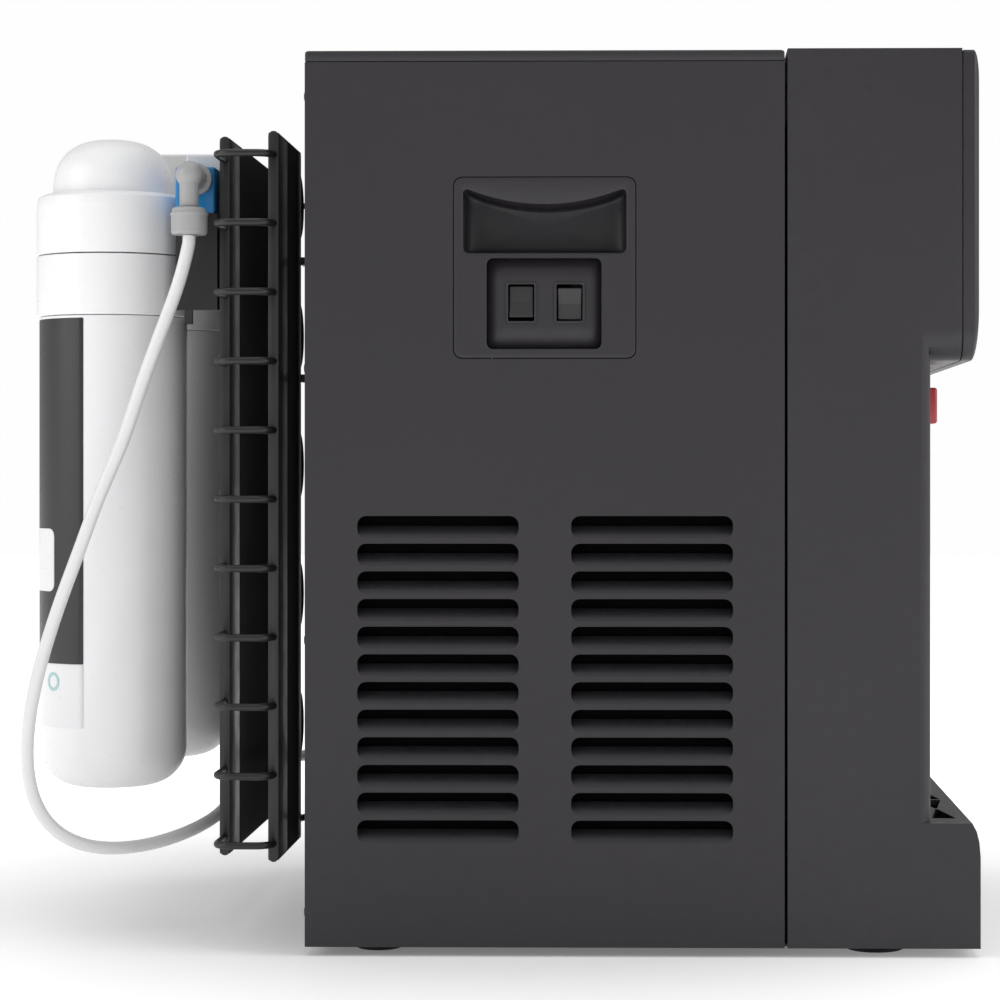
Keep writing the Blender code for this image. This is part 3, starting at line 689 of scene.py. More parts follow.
@cache
def edge_wear() -> Group:
    """The group for rubbed edges: how sharply a surface bulges, broken up by noise, as a mask."""
    sockets = [("Vector", "NodeSocketVector", None), ("Amount", "NodeSocketFloat", 0.2)]
    group, inward, outward = new_group("edge_wear", sockets, [("Mask", "NodeSocketFloat")])
    shape = group.nodes.new("ShaderNodeNewGeometry")
    bulge = add_range(group, shape.outputs["Pointiness"], 0.52, 0.62, 0.0, 1.0)
    patchy = add_range(group, add_noise(group, inward.outputs["Vector"], 160.0, 3.0), 0.35, 0.65, 0.35, 1.0)
    return end_with_mask(group, bulge, patchy, inward, outward)


@cache
def settled_dust() -> Group:
    """The group for dust that settles on faces that look up: the normal's height times noise, as a mask."""
    sockets = [("Vector", "NodeSocketVector", None), ("Amount", "NodeSocketFloat", 0.05)]
    group, inward, outward = new_group("settled_dust", sockets, [("Mask", "NodeSocketFloat")])
    shape = group.nodes.new("ShaderNodeNewGeometry")
    parts = group.nodes.new("ShaderNodeSeparateXYZ")
    group.links.new(shape.outputs["Normal"], parts.inputs[0])
    upward = add_range(group, parts.outputs["Z"], 0.5, 1.0, 0.0, 1.0)
    specks = add_range(group, add_noise(group, inward.outputs["Vector"], 420.0, 5.0), 0.45, 0.75, 0.0, 1.0)
    return end_with_mask(group, upward, specks, inward, outward)


@dataclass(frozen=True)
class Finish:
    """One surface finish: its colour and gloss, and how strongly each shared effect shows in it."""

    name: str
    colour: tuple[float, float, float]
    roughness: float
    metallic: float = 0.0
    slot: str | None = None
    grain_scale: float = 900.0
    grain_depth: float = 0.00002
    drift: float = 0.06
    wear: float = 0.10
    dust: float = 0.04
    coat: float = 0.0
    specular: float = 0.5
    dust_colour: tuple[float, float, float] = (0.34, 0.33, 0.31)

    @staticmethod
    def placed(tree: Group, group: Group, vector: Socket, name: str, value: float) -> bpy.types.Node:
        """Places a shared group in a material.

        Args:
            tree: the material's nodes.
            group: the group to place.
            vector: socket of coordinates.
            name: the group's other input.
            value: what that input is set to.

        Returns:
            The placed group's node.
        """
        node = tree.nodes.new("ShaderNodeGroup")
        node.node_tree = group
        tree.links.new(vector, node.inputs["Vector"])
        node.inputs[name].default_value = value
        return node

    @staticmethod
    def tinted(tree: Group, mask: Socket, first: Tint, second: Tint) -> Socket:
        """Adds a colour mix.

        Args:
            tree: takes the node.
            mask: socket that leads from the first colour to the second.
            first: a socket, or a colour.
            second: a socket, or a colour.

        Returns:
            The mixed colour's socket.
        """
        mix = tree.nodes.new("ShaderNodeMix")
        mix.data_type = "RGBA"
        tree.links.new(mask, mix.inputs[0])
        for socket, value in zip((mix.inputs[6], mix.inputs[7]), (first, second)):
            if isinstance(value, tuple):
                socket.default_value = (*value, 1.0)
            else:
                tree.links.new(value, socket)
        return mix.outputs[2]

    def material(self) -> bpy.types.Material:
        """The finish's material, made the first time it is asked for.

        The colour drifts between a darker and a lighter tone, then goes paler where edges are rubbed and
        where dust lies. Grain varies the roughness and raises the bump.

        Returns:
            The material.
        """
        found = bpy.data.materials.get(self.name)
        if found:
            return found
        made = bpy.data.materials.new(self.name)
        made.use_nodes = True
        tree = made.node_tree
        shader = tree.nodes["Principled BSDF"]
        vector = tree.nodes.new("ShaderNodeTexCoord").outputs["Object"]
        grain = self.placed(tree, moulded_grain(), vector, "Scale", self.grain_scale)
        drift = self.placed(tree, tone_drift(), vector, "Scale", 9.0)
        wear = self.placed(tree, edge_wear(), vector, "Amount", self.wear)
        dust = self.placed(tree, settled_dust(), vector, "Amount", self.dust)
        darker = tuple(value * (1 - self.drift) for value in self.colour)
        lighter = tuple(min(1.0, value * (1 + self.drift)) for value in self.colour)
        rubbed = tuple(min(1.0, value * 1.8 + 0.02) for value in self.colour)
        colour = self.tinted(tree, drift.outputs["Mask"], darker, lighter)
        colour = self.tinted(tree, wear.outputs["Mask"], colour, rubbed)
        colour = self.tinted(tree, dust.outputs["Mask"], colour, self.dust_colour)
        tree.links.new(colour, shader.inputs["Base Color"])
        gloss = (self.roughness * 0.9, min(1.0, self.roughness * 1.1))
        tree.links.new(add_range(tree, grain.outputs["Mask"], 0.3, 0.7, *gloss), shader.inputs["Roughness"])
        shader.inputs["Metallic"].default_value = self.metallic
        shader.inputs["Specular IOR Level"].default_value = self.specular
        shader.inputs["Coat Weight"].default_value = self.coat
        shader.inputs["Coat Roughness"].default_value = 0.12
        bump = tree.nodes.new("ShaderNodeBump")
        bump.inputs["Strength"].default_value = 0.35
        bump.inputs["Distance"].default_value = self.grain_depth
        tree.links.new(grain.outputs["Height"], bump.inputs["Height"])
        tree.links.new(bump.outputs["Normal"], shader.inputs["Normal"])
        return made


CABINET_BLACK = Finish(
    "cabinet_black", (0.0178, 0.0152, 0.0190), 0.50, slot="black_plastic", grain_depth=0.00004,
)
HOUSING_BLACK = Finish(
    "housing_black", (0.0185, 0.0160, 0.0198), 0.46, slot="black_plastic", grain_depth=0.00003,
)
LOUVRE_BLACK = Finish("louvre_black", (0.0120, 0.0102, 0.0130), 0.50, slot="black_plastic")
# painted shade: a near-black, barely glossy finish for the sheet behind the louvre slots, standing in for the
# shade inside the cabinet
SLOT_SHADE_BLACK = Finish(
    "slot_shade_black", (0.0020, 0.0020, 0.0021), 0.95, slot="black_plastic", wear=0.0, dust=0.0,
    specular=0.05,
)
BRACKET_BLACK = Finish("bracket_black", (0.0120, 0.0118, 0.0125), 0.42, slot="black_plastic")
ROCKER_BLACK = Finish(
    "rocker_black", (0.0045, 0.0038, 0.0048), 0.50, slot="rocker_black", grain_depth=0.00001,
    specular=0.06, wear=0.0,
)
PAINTED_WIRE = Finish("painted_wire", (0.0090, 0.0088, 0.0092), 0.36, slot="black_metal", grain_scale=500)
PAINTED_SHEET = Finish("painted_sheet", (0.0140, 0.0137, 0.0142), 0.40, slot="black_metal", grain_scale=350)
TAP_GREY = Finish("tap_grey", (0.30, 0.30, 0.31), 0.38, slot="grey_plastic")
FITTING_GREY = Finish("fitting_grey", (0.36, 0.36, 0.365), 0.34, slot="grey_plastic", grain_depth=0.00001)
FILTER_WHITE = Finish(
    "filter_white", (0.87, 0.87, 0.88), 0.30, slot="white_plastic", grain_scale=2600,
    grain_depth=0.000001, drift=0.008, wear=0.0, dust=0.03, dust_colour=(0.62, 0.61, 0.58),
)
MANIFOLD_WHITE = Finish(
    "manifold_white", (0.74, 0.74, 0.74), 0.38, slot="white_plastic", drift=0.03, wear=0.0,
)
PORT_BLUE = Finish("port_blue", (0.006, 0.20, 0.50), 0.32, slot="blue_plastic", drift=0.04)
SAFETY_RED = Finish("safety_red", (0.42, 0.035, 0.040), 0.32, slot="red_plastic", drift=0.05)
WINDOW_GLASS = Finish(
    "window_glass", (0.006, 0.006, 0.008), 0.07, slot="dark_glass", coat=1.0, grain_depth=0.000002,
    wear=0.0,
)
INDICATOR_PALE = Finish("indicator_pale", (0.45, 0.60, 0.52), 0.20, coat=0.6, wear=0.0, grain_scale=2400)
FOOT_RUBBER = Finish(
    "foot_rubber", (0.0130, 0.0128, 0.0130), 0.82, slot="rubber", grain_scale=500, grain_depth=0.00008,
    dust=0.12,
)
BARE_STEEL = Finish("bare_steel", (0.55, 0.55, 0.56), 0.30, 1.0, slot="steel", grain_scale=1400, drift=0.05)
COPPER_TUBE = Finish("copper_tube", (0.70, 0.34, 0.21), 0.34, 1.0, slot="copper", drift=0.14)
TANK_FOAM = Finish(
    "tank_foam", (0.72, 0.66, 0.50), 0.92, slot="foam", grain_scale=260, grain_depth=0.0004, drift=0.12,
)
BOARD_GREEN = Finish(
    "board_green", (0.015, 0.14, 0.05), 0.45, slot="board_green", grain_scale=300, drift=0.2,
)
HOSE_WHITE = Finish(
    "hose_white", (0.76, 0.76, 0.77), 0.30, slot="hose_white", grain_scale=600, grain_depth=0.000002,
    drift=0.02, wear=0.0,
)
LABEL_GREY = Finish(
    "label_grey", (0.024, 0.024, 0.026), 0.36, grain_scale=1600, grain_depth=0.000004, drift=0.12,
    wear=0.0,
)
LABEL_WHITE = Finish(
    "label_white", (0.82, 0.82, 0.83), 0.30, grain_scale=1600, grain_depth=0.000004, drift=0.02, wear=0.0,
)
LABEL_TEAL = Finish(
    "label_teal", (0.42, 0.66, 0.66), 0.32, grain_scale=1600, grain_depth=0.000004, drift=0.08, wear=0.0,
)
FLOOR_PALE = Finish(
    "floor_pale", (0.90, 0.90, 0.90), 0.85, grain_scale=60, grain_depth=0.0002, drift=0.006, wear=0.0,
    dust=0.0, specular=0.1,
)


# --- placing ------------------------------------------------------------------------------------------
def set_piece(data: bpy.types.Mesh, name: str, body: Body, finish: Finish, replaces: Sequence[str] = (),
              sharp: float = 34.0) -> bpy.types.Object:
    """Puts a finished mesh into the scene, on its body and in its finish.

    Args:
        data: the mesh, in world place.
        name: the piece's name.
        body: what it rides on.
        finish: its finish.
        replaces: frame nodes that it stands for.
        sharp: edges that turn by more degrees than this stay sharp.

    Returns:
        The piece.
    """
    piece = bpy.data.objects.new(name, data)
    bpy.context.scene.collection.objects.link(piece)
    data.materials.clear()
    data.materials.append(finish.material())
    data.shade_smooth()
    data.set_sharp_from_angle(angle=math.radians(sharp))
    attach(piece, body.value)
    if replaces:
        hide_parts(*replaces)
    LOG.info("%s on %s in %s, %d faces", name, body.value, finish.name, len(data.polygons))
    return piece


def ring_piece(rings: np.ndarray, name: str, body: Body, finish: Finish, replaces: Sequence[str] = (),
               sharp: float = 34.0) -> bpy.types.Object:
    """Makes a closed piece of one stack of rings and puts it into the scene.

    Args:
        rings: world points in rings.
        name: the piece's name.
        body: what it rides on.
        finish: its finish.
        replaces: frame nodes that it stands for.
        sharp: edges that turn by more degrees than this stay sharp.

    Returns:
        The piece.
    """
    return set_piece(Skin().add_rings(rings).mesh(name), name, body, finish, replaces, sharp)


def flat_ring(outline: np.ndarray, place: Place) -> np.ndarray:
    """One ring of world points from an outline at height 0."""
    return place(outline[None, :, 0], outline[None, :, 1], np.zeros((1, len(outline))))


def round_edges(piece: bpy.types.Object, width: float, segments: int = 2) -> bpy.types.Object:
    """Rounds a piece's sharp edges with a live Bevel.

    Args:
        piece: the piece.
        width: the bevel's width.
        segments: its steps.

    Returns:
        The piece.
    """
    bevel = piece.modifiers.new("rounded_edges", "BEVEL")
    bevel.width, bevel.segments = width, segments
    bevel.limit_method, bevel.angle_limit = "ANGLE", math.radians(ROUNDED_FROM)
    bevel.harden_normals = True
    return piece


def give_wall(piece: bpy.types.Object, thickness: float) -> bpy.types.Object:
    """Gives an open sheet its wall, behind its faces, with a live Solidify."""
    wall = piece.modifiers.new("wall", "SOLIDIFY")
    wall.thickness, wall.offset = thickness, -1.0
    return piece


def softened(node: str, name: str, body: Body, finish: Finish, width: float,
             segments: int = 2) -> bpy.types.Object:
    """A copy of a frame node with its triangles merged into flat faces and its edges rounded.

    Args:
        node: the frame node that it copies and stands for.
        name: the piece's name.
        body: what it rides on.
        finish: its finish.
        width: width of its rounded edges.
        segments: their steps.

    Returns:
        The piece.
    """
    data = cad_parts[node].data.copy()
    data.name = name
    work = bmesh.new()
    work.from_mesh(data)
    bmesh.ops.remove_doubles(work, verts=work.verts, dist=5 * MERGE)
    bmesh.ops.dissolve_limit(work, angle_limit=math.radians(0.4), verts=work.verts, edges=work.edges)
    work.to_mesh(data)
    work.free()
    piece = set_piece(data, name, body, finish, [node])
    return round_edges(piece, width, segments)


# --- studio -------------------------------------------------------------------------------------------
@dataclass
class Studio:
    """The pale floor with its painted glow, the soft light and the camera."""

    eye: tuple[float, float, float] = (0.0793, -1.4385, 0.2310)
    turned_left: float = 0.93                # degrees from the +Y direction
    lens: float = 97.4
    shift: tuple[float, float] = (-0.1113, -0.0285)
    floor_half: float = 6.0
    # floor emission by distance from the unit: a painted glow, weakest near the unit, that also lights its
    # lower parts
    glow: tuple[float, float, float, float] = (0.18, 0.62, 0.16, 0.75)
    sky_light: float = 0.47
    softboxes: tuple = (
        ("top_softbox", (0.1, -0.2, 2.3), (0.0, 0.0, 0.0), 2.4, 15.0),
        ("front_softbox", (2.2, -0.7, 1.1), (0.1, 0.0, 0.2), 1.4, 18.0),
        ("rear_softbox", (-1.9, -1.0, 1.0), (-0.15, 0.0, 0.2), 1.4, 12.0),
    )

    def camera(self) -> None:
        """Sets the camera level, beside the left side."""
        data = bpy.data.cameras.new("camera")
        data.lens, data.sensor_width = self.lens, 36.0
        data.shift_x, data.shift_y = self.shift
        data.clip_start, data.clip_end = 0.05, 60.0
        eye = bpy.data.objects.new("camera", data)
        eye.location = self.eye
        eye.rotation_euler = (math.pi / 2, 0, math.radians(self.turned_left))
        bpy.context.scene.collection.objects.link(eye)
        bpy.context.scene.camera = eye

    def floor(self) -> None:
        """Lays the floor, a wide flat sheet at z 0."""
        side = np.linspace(-self.floor_half, self.floor_half, FLOOR_LINES)
        x, y = np.meshgrid(side, side)
        skin = Skin().add(Plane.TOP.place(x, y, np.zeros_like(x)), grid_quads(FLOOR_LINES, FLOOR_LINES))
        data = skin.mesh("floor", closed=False)
        data.materials.append(self.floor_material())
        floor = bpy.data.objects.new("floor", data)
        bpy.context.scene.collection.objects.link(floor)
        floor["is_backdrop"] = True

    def floor_material(self) -> bpy.types.Material:
        """The floor's finish, with a painted glow that grows with the distance from the unit, so that the
        floor runs into the surroundings without a line. Being weakest near the unit, the glow leaves painted
        shade round the base, and it also lights the unit's lower parts.

        Returns:
            The material.
        """
        made = FLOOR_PALE.material()
        tree = made.node_tree
        shader = tree.nodes["Principled BSDF"]
        distance = tree.nodes.new("ShaderNodeVectorMath")
        distance.operation = "LENGTH"
        tree.links.new(tree.nodes.new("ShaderNodeTexCoord").outputs["Object"], distance.inputs[0])
        # painted glow: emission on the floor, weakest near the unit
        glow = add_range(tree, distance.outputs["Value"], *self.glow)
        shader.inputs["Emission Color"].default_value = (1.0, 1.0, 1.0, 1.0)
        tree.links.new(glow, shader.inputs["Emission Strength"])
        return made

    def lights(self) -> None:
        """Adds the softboxes and the pale surroundings, which look white but light a little less."""
        for name, place, aim, size, power in self.softboxes:
            data = bpy.data.lights.new(name, "AREA")
            data.shape, data.size, data.energy = "SQUARE", size, power
            light = bpy.data.objects.new(name, data)
            light.location = place
            away = np.asarray(place, float) - np.asarray(aim, float)
            tilt = math.acos(away[2] / np.linalg.norm(away))
            light.rotation_euler = (tilt, 0, math.atan2(away[0], -away[1]))
            bpy.context.scene.collection.objects.link(light)
        world = bpy.data.worlds.new("surroundings")
        world.use_nodes = True
        bpy.context.scene.world = world
        tree = world.node_tree
        seen = tree.nodes.new("ShaderNodeLightPath").outputs["Is Camera Ray"]
        strength = add_range(tree, seen, 0.0, 1.0, self.sky_light, 0.99)
        tree.nodes["Background"].inputs["Color"].default_value = (1.0, 1.0, 1.0, 1.0)
        tree.links.new(strength, tree.nodes["Background"].inputs["Strength"])

    def build(self) -> None:
        """Makes the studio, with colours shown as they are lit."""
        bpy.context.scene.view_settings.view_transform = "Standard"
        self.camera()
        self.floor()
        self.lights()


# --- water line ---------------------------------------------------------------------------------------
HOSE_ROUTE = (
    (-0.1473, -0.1260, 0.3457), (-0.1482, -0.1262, 0.3360), (-0.1517, -0.1268, 0.3231),
    (-0.1560, -0.1275, 0.3114), (-0.1635, -0.1285, 0.2914), (-0.1722, -0.1295, 0.2666),
    (-0.1782, -0.1302, 0.2463), (-0.1842, -0.1305, 0.2330), (-0.1911, -0.1312, 0.2177),
    (-0.1983, -0.1315, 0.1964), (-0.2081, -0.1315, 0.1710), (-0.2152, -0.1312, 0.1497),
    (-0.2204, -0.1305, 0.1324), (-0.2244, -0.1295, 0.1139), (-0.2268, -0.1275, 0.0885),
    (-0.2226, -0.1240, 0.0653), (-0.2122, -0.1185, 0.0515), (-0.1994, -0.1120, 0.0456),
    (-0.1867, -0.1035, 0.0440), (-0.1714, -0.0920, 0.0448), (-0.1559, -0.0780, 0.0492),
    (-0.1455, -0.0600, 0.0540), (-0.1420, -0.0350, 0.0590), (-0.1418, 0.0000, 0.0635),
    (-0.1418, 0.0450, 0.0655), (-0.1418, 0.0850, 0.0660), (-0.1402, 0.1060, 0.0660),
    (-0.1330, 0.1245, 0.0660), (-0.1210, 0.1365, 0.0660), (-0.1100, 0.1396, 0.0660),
    (-0.1003, 0.1400, 0.0660),
)


@dataclass
class WaterLine:
    """The hose with its elbow, nut and port block, and the manifold and bracket that carry the filters."""

    hose_diameter: float = 0.00635
    hose_spacing: float = 0.004              # distance between the points of its route
    elbow: tuple[float, float, float] = (-0.1473, -0.1260, 0.3754)
    knob_radius: float = 0.0066
    leg_radius: float = 0.0047
    stem_radius: float = 0.0056
    flange_radius: float = 0.0079

    def hose(self) -> None:
        """A smooth tube along the hose's route."""
        path = smooth_route(HOSE_ROUTE, self.hose_spacing)
        rings = tube_rings(path, self.hose_diameter / 2, 20)
        hose = ring_piece(rings, "hose", Body.CABINET, HOSE_WHITE, ["water_hose"], sharp=60)

    def elbow_piece(self) -> None:
        """A ball on a leg, with a stem and a flange that meet the port block, each a turned shape."""
        x, _, z = self.elbow
        angle = np.linspace(0, math.radians(134), 14)
        ball = self.knob_radius * np.column_stack([np.sin(angle), np.cos(angle)])
        leg = eased([ball[-1], (self.leg_radius, -0.0068), (self.leg_radius, -0.0158), (0, -0.0158)], 0.0006)
        skin = Skin().add_rings(turned(np.vstack([ball, leg[1:]]), self.elbow))
        stem = eased([(0, 0), (self.stem_radius, 0), (self.stem_radius, 0.0215), (0, 0.0215)], 0.0004)
        skin.add_rings(turned(stem, (x, -0.1045, z), Axis.LEFT))
        flange = eased([(0, 0), (self.flange_radius, 0), (self.flange_radius, 0.0046), (0, 0.0046)], 0.0008)
        skin.add_rings(turned(flange, (x, -0.1034, z), Axis.LEFT))
        set_piece(skin.mesh("elbow"), "elbow", Body.CABINET, FITTING_GREY, ["outlet_elbow"])

    def nut(self) -> None:
        """The nut that grips the hose: a turned collar with a thin ridge near its top and eased edges."""
        low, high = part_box("elbow_nut")
        top = high.z - low.z
        ridge = [(0, top), (0.0078, top), (0.0084, top - 0.0012), (0.0084, top - 0.0022)]
        wall = [
            (0.0092, top - 0.0026), (0.0092, top - 0.0036), (0.0088, top - 0.0042), (0.0088, 0.0012),
            (0.0080, 0), (0, 0),
        ]
        rings = turned(eased(ridge + wall, 0.0005), (self.elbow[0], self.elbow[1], low.z))
        ring_piece(rings, "hose_nut", Body.CABINET, FITTING_GREY, ["elbow_nut"])

    def build(self) -> None:
        """Makes the whole water line, the hose first."""
        self.hose()
        self.elbow_piece()
        self.nut()
        softened("port_block", "blue_port", Body.CABINET, PORT_BLUE, 0.0006)
        softened("filter_manifold", "manifold", Body.CABINET, MANIFOLD_WHITE, 0.0012, 3)
        softened("filter_bracket", "bracket", Body.CABINET, BRACKET_BLACK, 0.0006)


# --- cabinet ------------------------------------------------------------------------------------------
@dataclass
class SidePanel:
    """One side: the louvred panel, its slanted blades, and the handle insert with its finger recess."""

    name: str
    side: int
    insert_middle: tuple[float, float] = (0.0267, 0.3280)
    insert_half: tuple[float, float] = (0.0433, 0.0430)
    insert_radius: float = 0.0040
    seam: float = 0.0003
    slot_columns: tuple[float, float] = (-0.02415, 0.0778)
    slot_size: tuple[float, float] = (0.0769, 0.0104)
    slot_top: float = 0.2098
    slot_pitch: float = 0.01317
    slot_rows: int = 12
    slot_radius: float = 0.0043
    wall: float = 0.0025
    # depth of the near-black sheet that paints the shade behind the slots
    slot_shade_depth: float = 0.0085
    recess: Box = (-0.0121, 0.0655, 0.3350, 0.3660)
    recess_depth: float = 0.0220
    grip_dip: float = 0.0080
    bay: Box = (-0.0010, 0.0538, 0.2893, 0.3325)
    bay_depth: float = 0.0035
    rocker_x: tuple[float, float] = (0.0154, 0.0385)
    rocker_z: float = 0.3115
    half_width: float = field(init=False)
    box: Box = field(init=False)

    def __post_init__(self) -> None:
        """Reads the panel's outer face from the frame."""
        low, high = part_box(f"{self.name}_side_panel")
        self.half_width = max(abs(low.y), abs(high.y))
        self.box = (low.x, high.x, low.z, high.z)

    def place(self, u: np.ndarray, v: np.ndarray, depth: np.ndarray) -> np.ndarray:
        """Takes x, z and the depth behind the outer face to world points."""
        return Plane.SIDE.place(u, v, self.side * (self.half_width - depth))

    def slots(self) -> list[Box]:
        """The louvre slots' boxes, column by column from the top."""
        width, height = self.slot_size
        tops = [self.slot_top - row * self.slot_pitch for row in range(self.slot_rows)]
        return [
            (middle - width / 2, middle + width / 2, top - height, top)
            for middle in self.slot_columns
            for top in tops
        ]

    def panel(self) -> None:
        """A flat sheet with an opening for the insert and the slots, given a wall and rounded edges."""
        spare = (self.slot_pitch - self.slot_size[1]) / 2
        openings = [
            Opening(
                (u0 - 0.003, u1 + 0.003, v0 - spare, v1 + spare), (u0, u1, v0, v1), self.slot_radius, 0.0009
            )
            for u0, u1, v0, v1 in self.slots()
        ]
        (mid_u, mid_v), (half_u, half_v) = self.insert_middle, self.insert_half
        grown_u, grown_v = half_u + self.seam, half_v + self.seam
        hole = (mid_u - grown_u, mid_u + grown_u, mid_v - grown_v, mid_v + grown_v)
        tile = (hole[0] - 0.004, hole[1] + 0.004, hole[2] - 0.004, hole[3] + 0.004)
        openings.append(Opening(tile, hole, self.insert_radius + self.seam, 0.004))
        skin = Skin()
        PiercedSheet(self.box, openings, 4).add_to(skin, self.place)
        data = skin.mesh(f"{self.name}_panel", closed=False, flip=self.side > 0)
        stood_for = [f"{self.name}_side_panel"]
        panel = set_piece(data, f"{self.name}_panel", Body.CABINET, CABINET_BLACK, stood_for)
        round_edges(give_wall(panel, self.wall), 0.00035)

    def blades(self) -> None:
        """A slanted blade in the lower half of each slot: a thin eased section carried along X."""
        corners = [(0.0001, -0.0003), (0.0064, 0.0049), (0.0058, 0.0059), (0.0003, 0.0012)]
        section = eased(corners, 0.0004, 3, True)
        skin = Skin()
        for u0, u1, v0, _ in self.slots():
            ends = np.array([u0 - 0.0003, u1 + 0.0003])[:, None]
            skin.add_rings(self.place(ends, v0 + section[None, :, 1], section[None, :, 0]))
        set_piece(skin.mesh(f"{self.name}_blades"), f"{self.name}_blades", Body.CABINET, LOUVRE_BLACK)

    def slot_shade(self) -> None:
        """A near-black sheet behind the slots that paints the shade inside the cabinet: a walled sheet quilted
        by 0.3 mm sin(300 x) sin(300 z).
        """
        slots = self.slots()
        low_u, high_u = slots[0][0] - 0.006, slots[-1][1] + 0.006
        low_v, high_v = slots[-1][2] - 0.004, slots[0][3] + 0.004
        u, v = np.meshgrid(np.linspace(low_u, high_u, 61), np.linspace(low_v, high_v, 61))
        quilt = self.slot_shade_depth + 0.0003 * np.sin(300 * u) * np.sin(300 * v)
        data = Skin().add(self.place(u, v, quilt), grid_quads(61, 61))
        made = data.mesh(f"{self.name}_screen", closed=False, flip=self.side > 0)
        give_wall(set_piece(made, f"{self.name}_screen", Body.CABINET, SLOT_SHADE_BLACK), 0.0006)

    def recess_rings(self, sheet: PiercedSheet, opening: Opening) -> np.ndarray:
        """The finger recess: an outline whose upper side dips by (1 - s^2) in the middle, drawn down the
        wall and through a fillet to the back.

        Args:
            sheet: the insert's sheet.
            opening: the recess in it.

        Returns:
            World points in rings, from the outer face inwards.
        """
        outline = sheet.hole_ring(opening)
        low_u, high_u, low_v, high_v = opening.hole
        s = (outline[:, 0] - (low_u + high_u) / 2) / ((high_u - low_u) / 2)
        rise = (outline[:, 1] - low_v) / (high_v - low_v)
        outline = np.column_stack([outline[:, 0], outline[:, 1] - self.grip_dip * (1 - s**2) * rise])
        rim = quarter_round(0.0009, 0, 0.0009)[::-1] * (-1, 1)
        rim[:, 1] = 0.0009 - rim[:, 1]
        fillet = quarter_round(1.0, 0.0155, self.recess_depth, 7)
        drawn = np.column_stack([0.0062 * fillet[:, 0], 0.0046 * fillet[:, 0], fillet[:, 1]])
        profile = np.vstack([np.column_stack([rim[:, 0], rim[:, 0], rim[:, 1]]), drawn])
        return ring_stack(outline, profile, self.place)

    def insert(self, with_switches: bool) -> None:
        """The flush insert: an eased rim, a flat face, the recess and, on the left, the switch bay.

        Args:
            with_switches: whether it has the bay.
        """
        (mid_u, mid_v), (half_u, half_v) = self.insert_middle, self.insert_half
        rim = 0.0022
        inner = (mid_u - half_u + rim, mid_u + half_u - rim, mid_v - half_v + rim, mid_v + half_v - rim)
        split = (self.bay[3] + self.recess[2]) / 2
        recess = Opening((inner[0], inner[1], split, inner[3]), self.recess, 0.0028, 0.0030)
        openings = [recess]
        if with_switches:
            bay = Opening((inner[0], inner[1], inner[2], split), self.bay, 0.0030, 0.0030)
            openings.append(bay)
        sheet = PiercedSheet(inner, openings, 19)
        skin = Skin()
        sheet.add_to(skin, self.place, with_holes=False)
        edge = sheet.outline(inner, inner, 0)
        outer_box = (mid_u - half_u, mid_u + half_u, mid_v - half_v, mid_v + half_v)
        outer = sheet.outline(inner, outer_box, self.insert_radius)
        fold = np.array([(0, self.wall), (0, 0.0005), (0.00015, 0.00015), (0.0005, 0)])
        folded = ring_stack(outer, fold, self.place)
        skin.add_rings(np.vstack([folded, flat_ring(edge, self.place)]), OPEN_ENDS)
        rings = self.recess_rings(sheet, recess)
        first = flat_ring(sheet.tile_ring(recess), self.place)
        skin.add_rings(np.vstack([first, rings]), (False, True))
        if with_switches:
            first = flat_ring(sheet.tile_ring(bay), self.place)
            walls = ring_stack(sheet.hole_ring(bay), [(-0.0003, 0), (0, 0.0003), (0, 0.0048)], self.place)
            skin.add_rings(np.vstack([first, walls]), OPEN_ENDS)
        data = skin.mesh(f"{self.name}_insert", closed=False, flip=self.side > 0)
        stood_for = [f"{self.name}_handle_insert"]
        insert = set_piece(data, f"{self.name}_insert", Body.CABINET, CABINET_BLACK, stood_for)
        give_wall(insert, 0.0012)

    def switch_plate(self) -> None:
        """The plate at the back of the bay, with an opening and a raised frame round each rocker."""
        low_u, high_u, low_v, high_v = (
            self.bay[0] + 0.0002, self.bay[1] - 0.0002, self.bay[2] + 0.0002, self.bay[3] - 0.0002,
        )
        openings = []
        for x in self.rocker_x:
            hole = (x - 0.0063, x + 0.0063, self.rocker_z - 0.0088, self.rocker_z + 0.0088)
            tile = (hole[0] - 0.0020, hole[1] + 0.0020, hole[2] - 0.0020, hole[3] + 0.0020)
            openings.append(Opening(tile, hole, 0.0008, 0.0008))
        sheet = PiercedSheet((low_u, high_u, low_v, high_v), openings, 5)

        def behind(u: np.ndarray, v: np.ndarray, depth: np.ndarray) -> np.ndarray:
            """Sets the plate at the bay's depth."""
            return self.place(u, v, depth + self.bay_depth)

        skin = Skin()
        sheet.add_to(skin, behind, with_holes=False)
        frame_steps = [(-0.0012, 0), (-0.0011, -0.0006), (-0.0003, -0.0007), (0, -0.0005), (0, 0.0012)]
        for opening in openings:
            flat = flat_ring(sheet.tile_ring(opening), behind)
            raised = ring_stack(sheet.hole_ring(opening), frame_steps, behind)
            skin.add_rings(np.vstack([flat, raised]), OPEN_ENDS)
        data = skin.mesh(f"{self.name}_switch_plate", closed=False, flip=self.side > 0)
        give_wall(set_piece(data, f"{self.name}_switch_plate", Body.CABINET, CABINET_BLACK), 0.0010)

    def build(self, with_switches: bool) -> None:
        """Makes the side, with the switch bay and its rockers if it has them.

        Args:
            with_switches: whether it has them.
        """
        self.panel()
        self.blades()
        # the near-black sheet behind the slots is painted shade
        self.slot_shade()
        self.insert(with_switches)
        if with_switches:
            self.switch_plate()
            softened("heating_switch", "heating_rocker_key", Body.HEATING_ROCKER, ROCKER_BLACK, 0.0007, 3)
            softened("cooling_switch", "cooling_rocker_key", Body.COOLING_ROCKER, ROCKER_BLACK, 0.0007, 3)


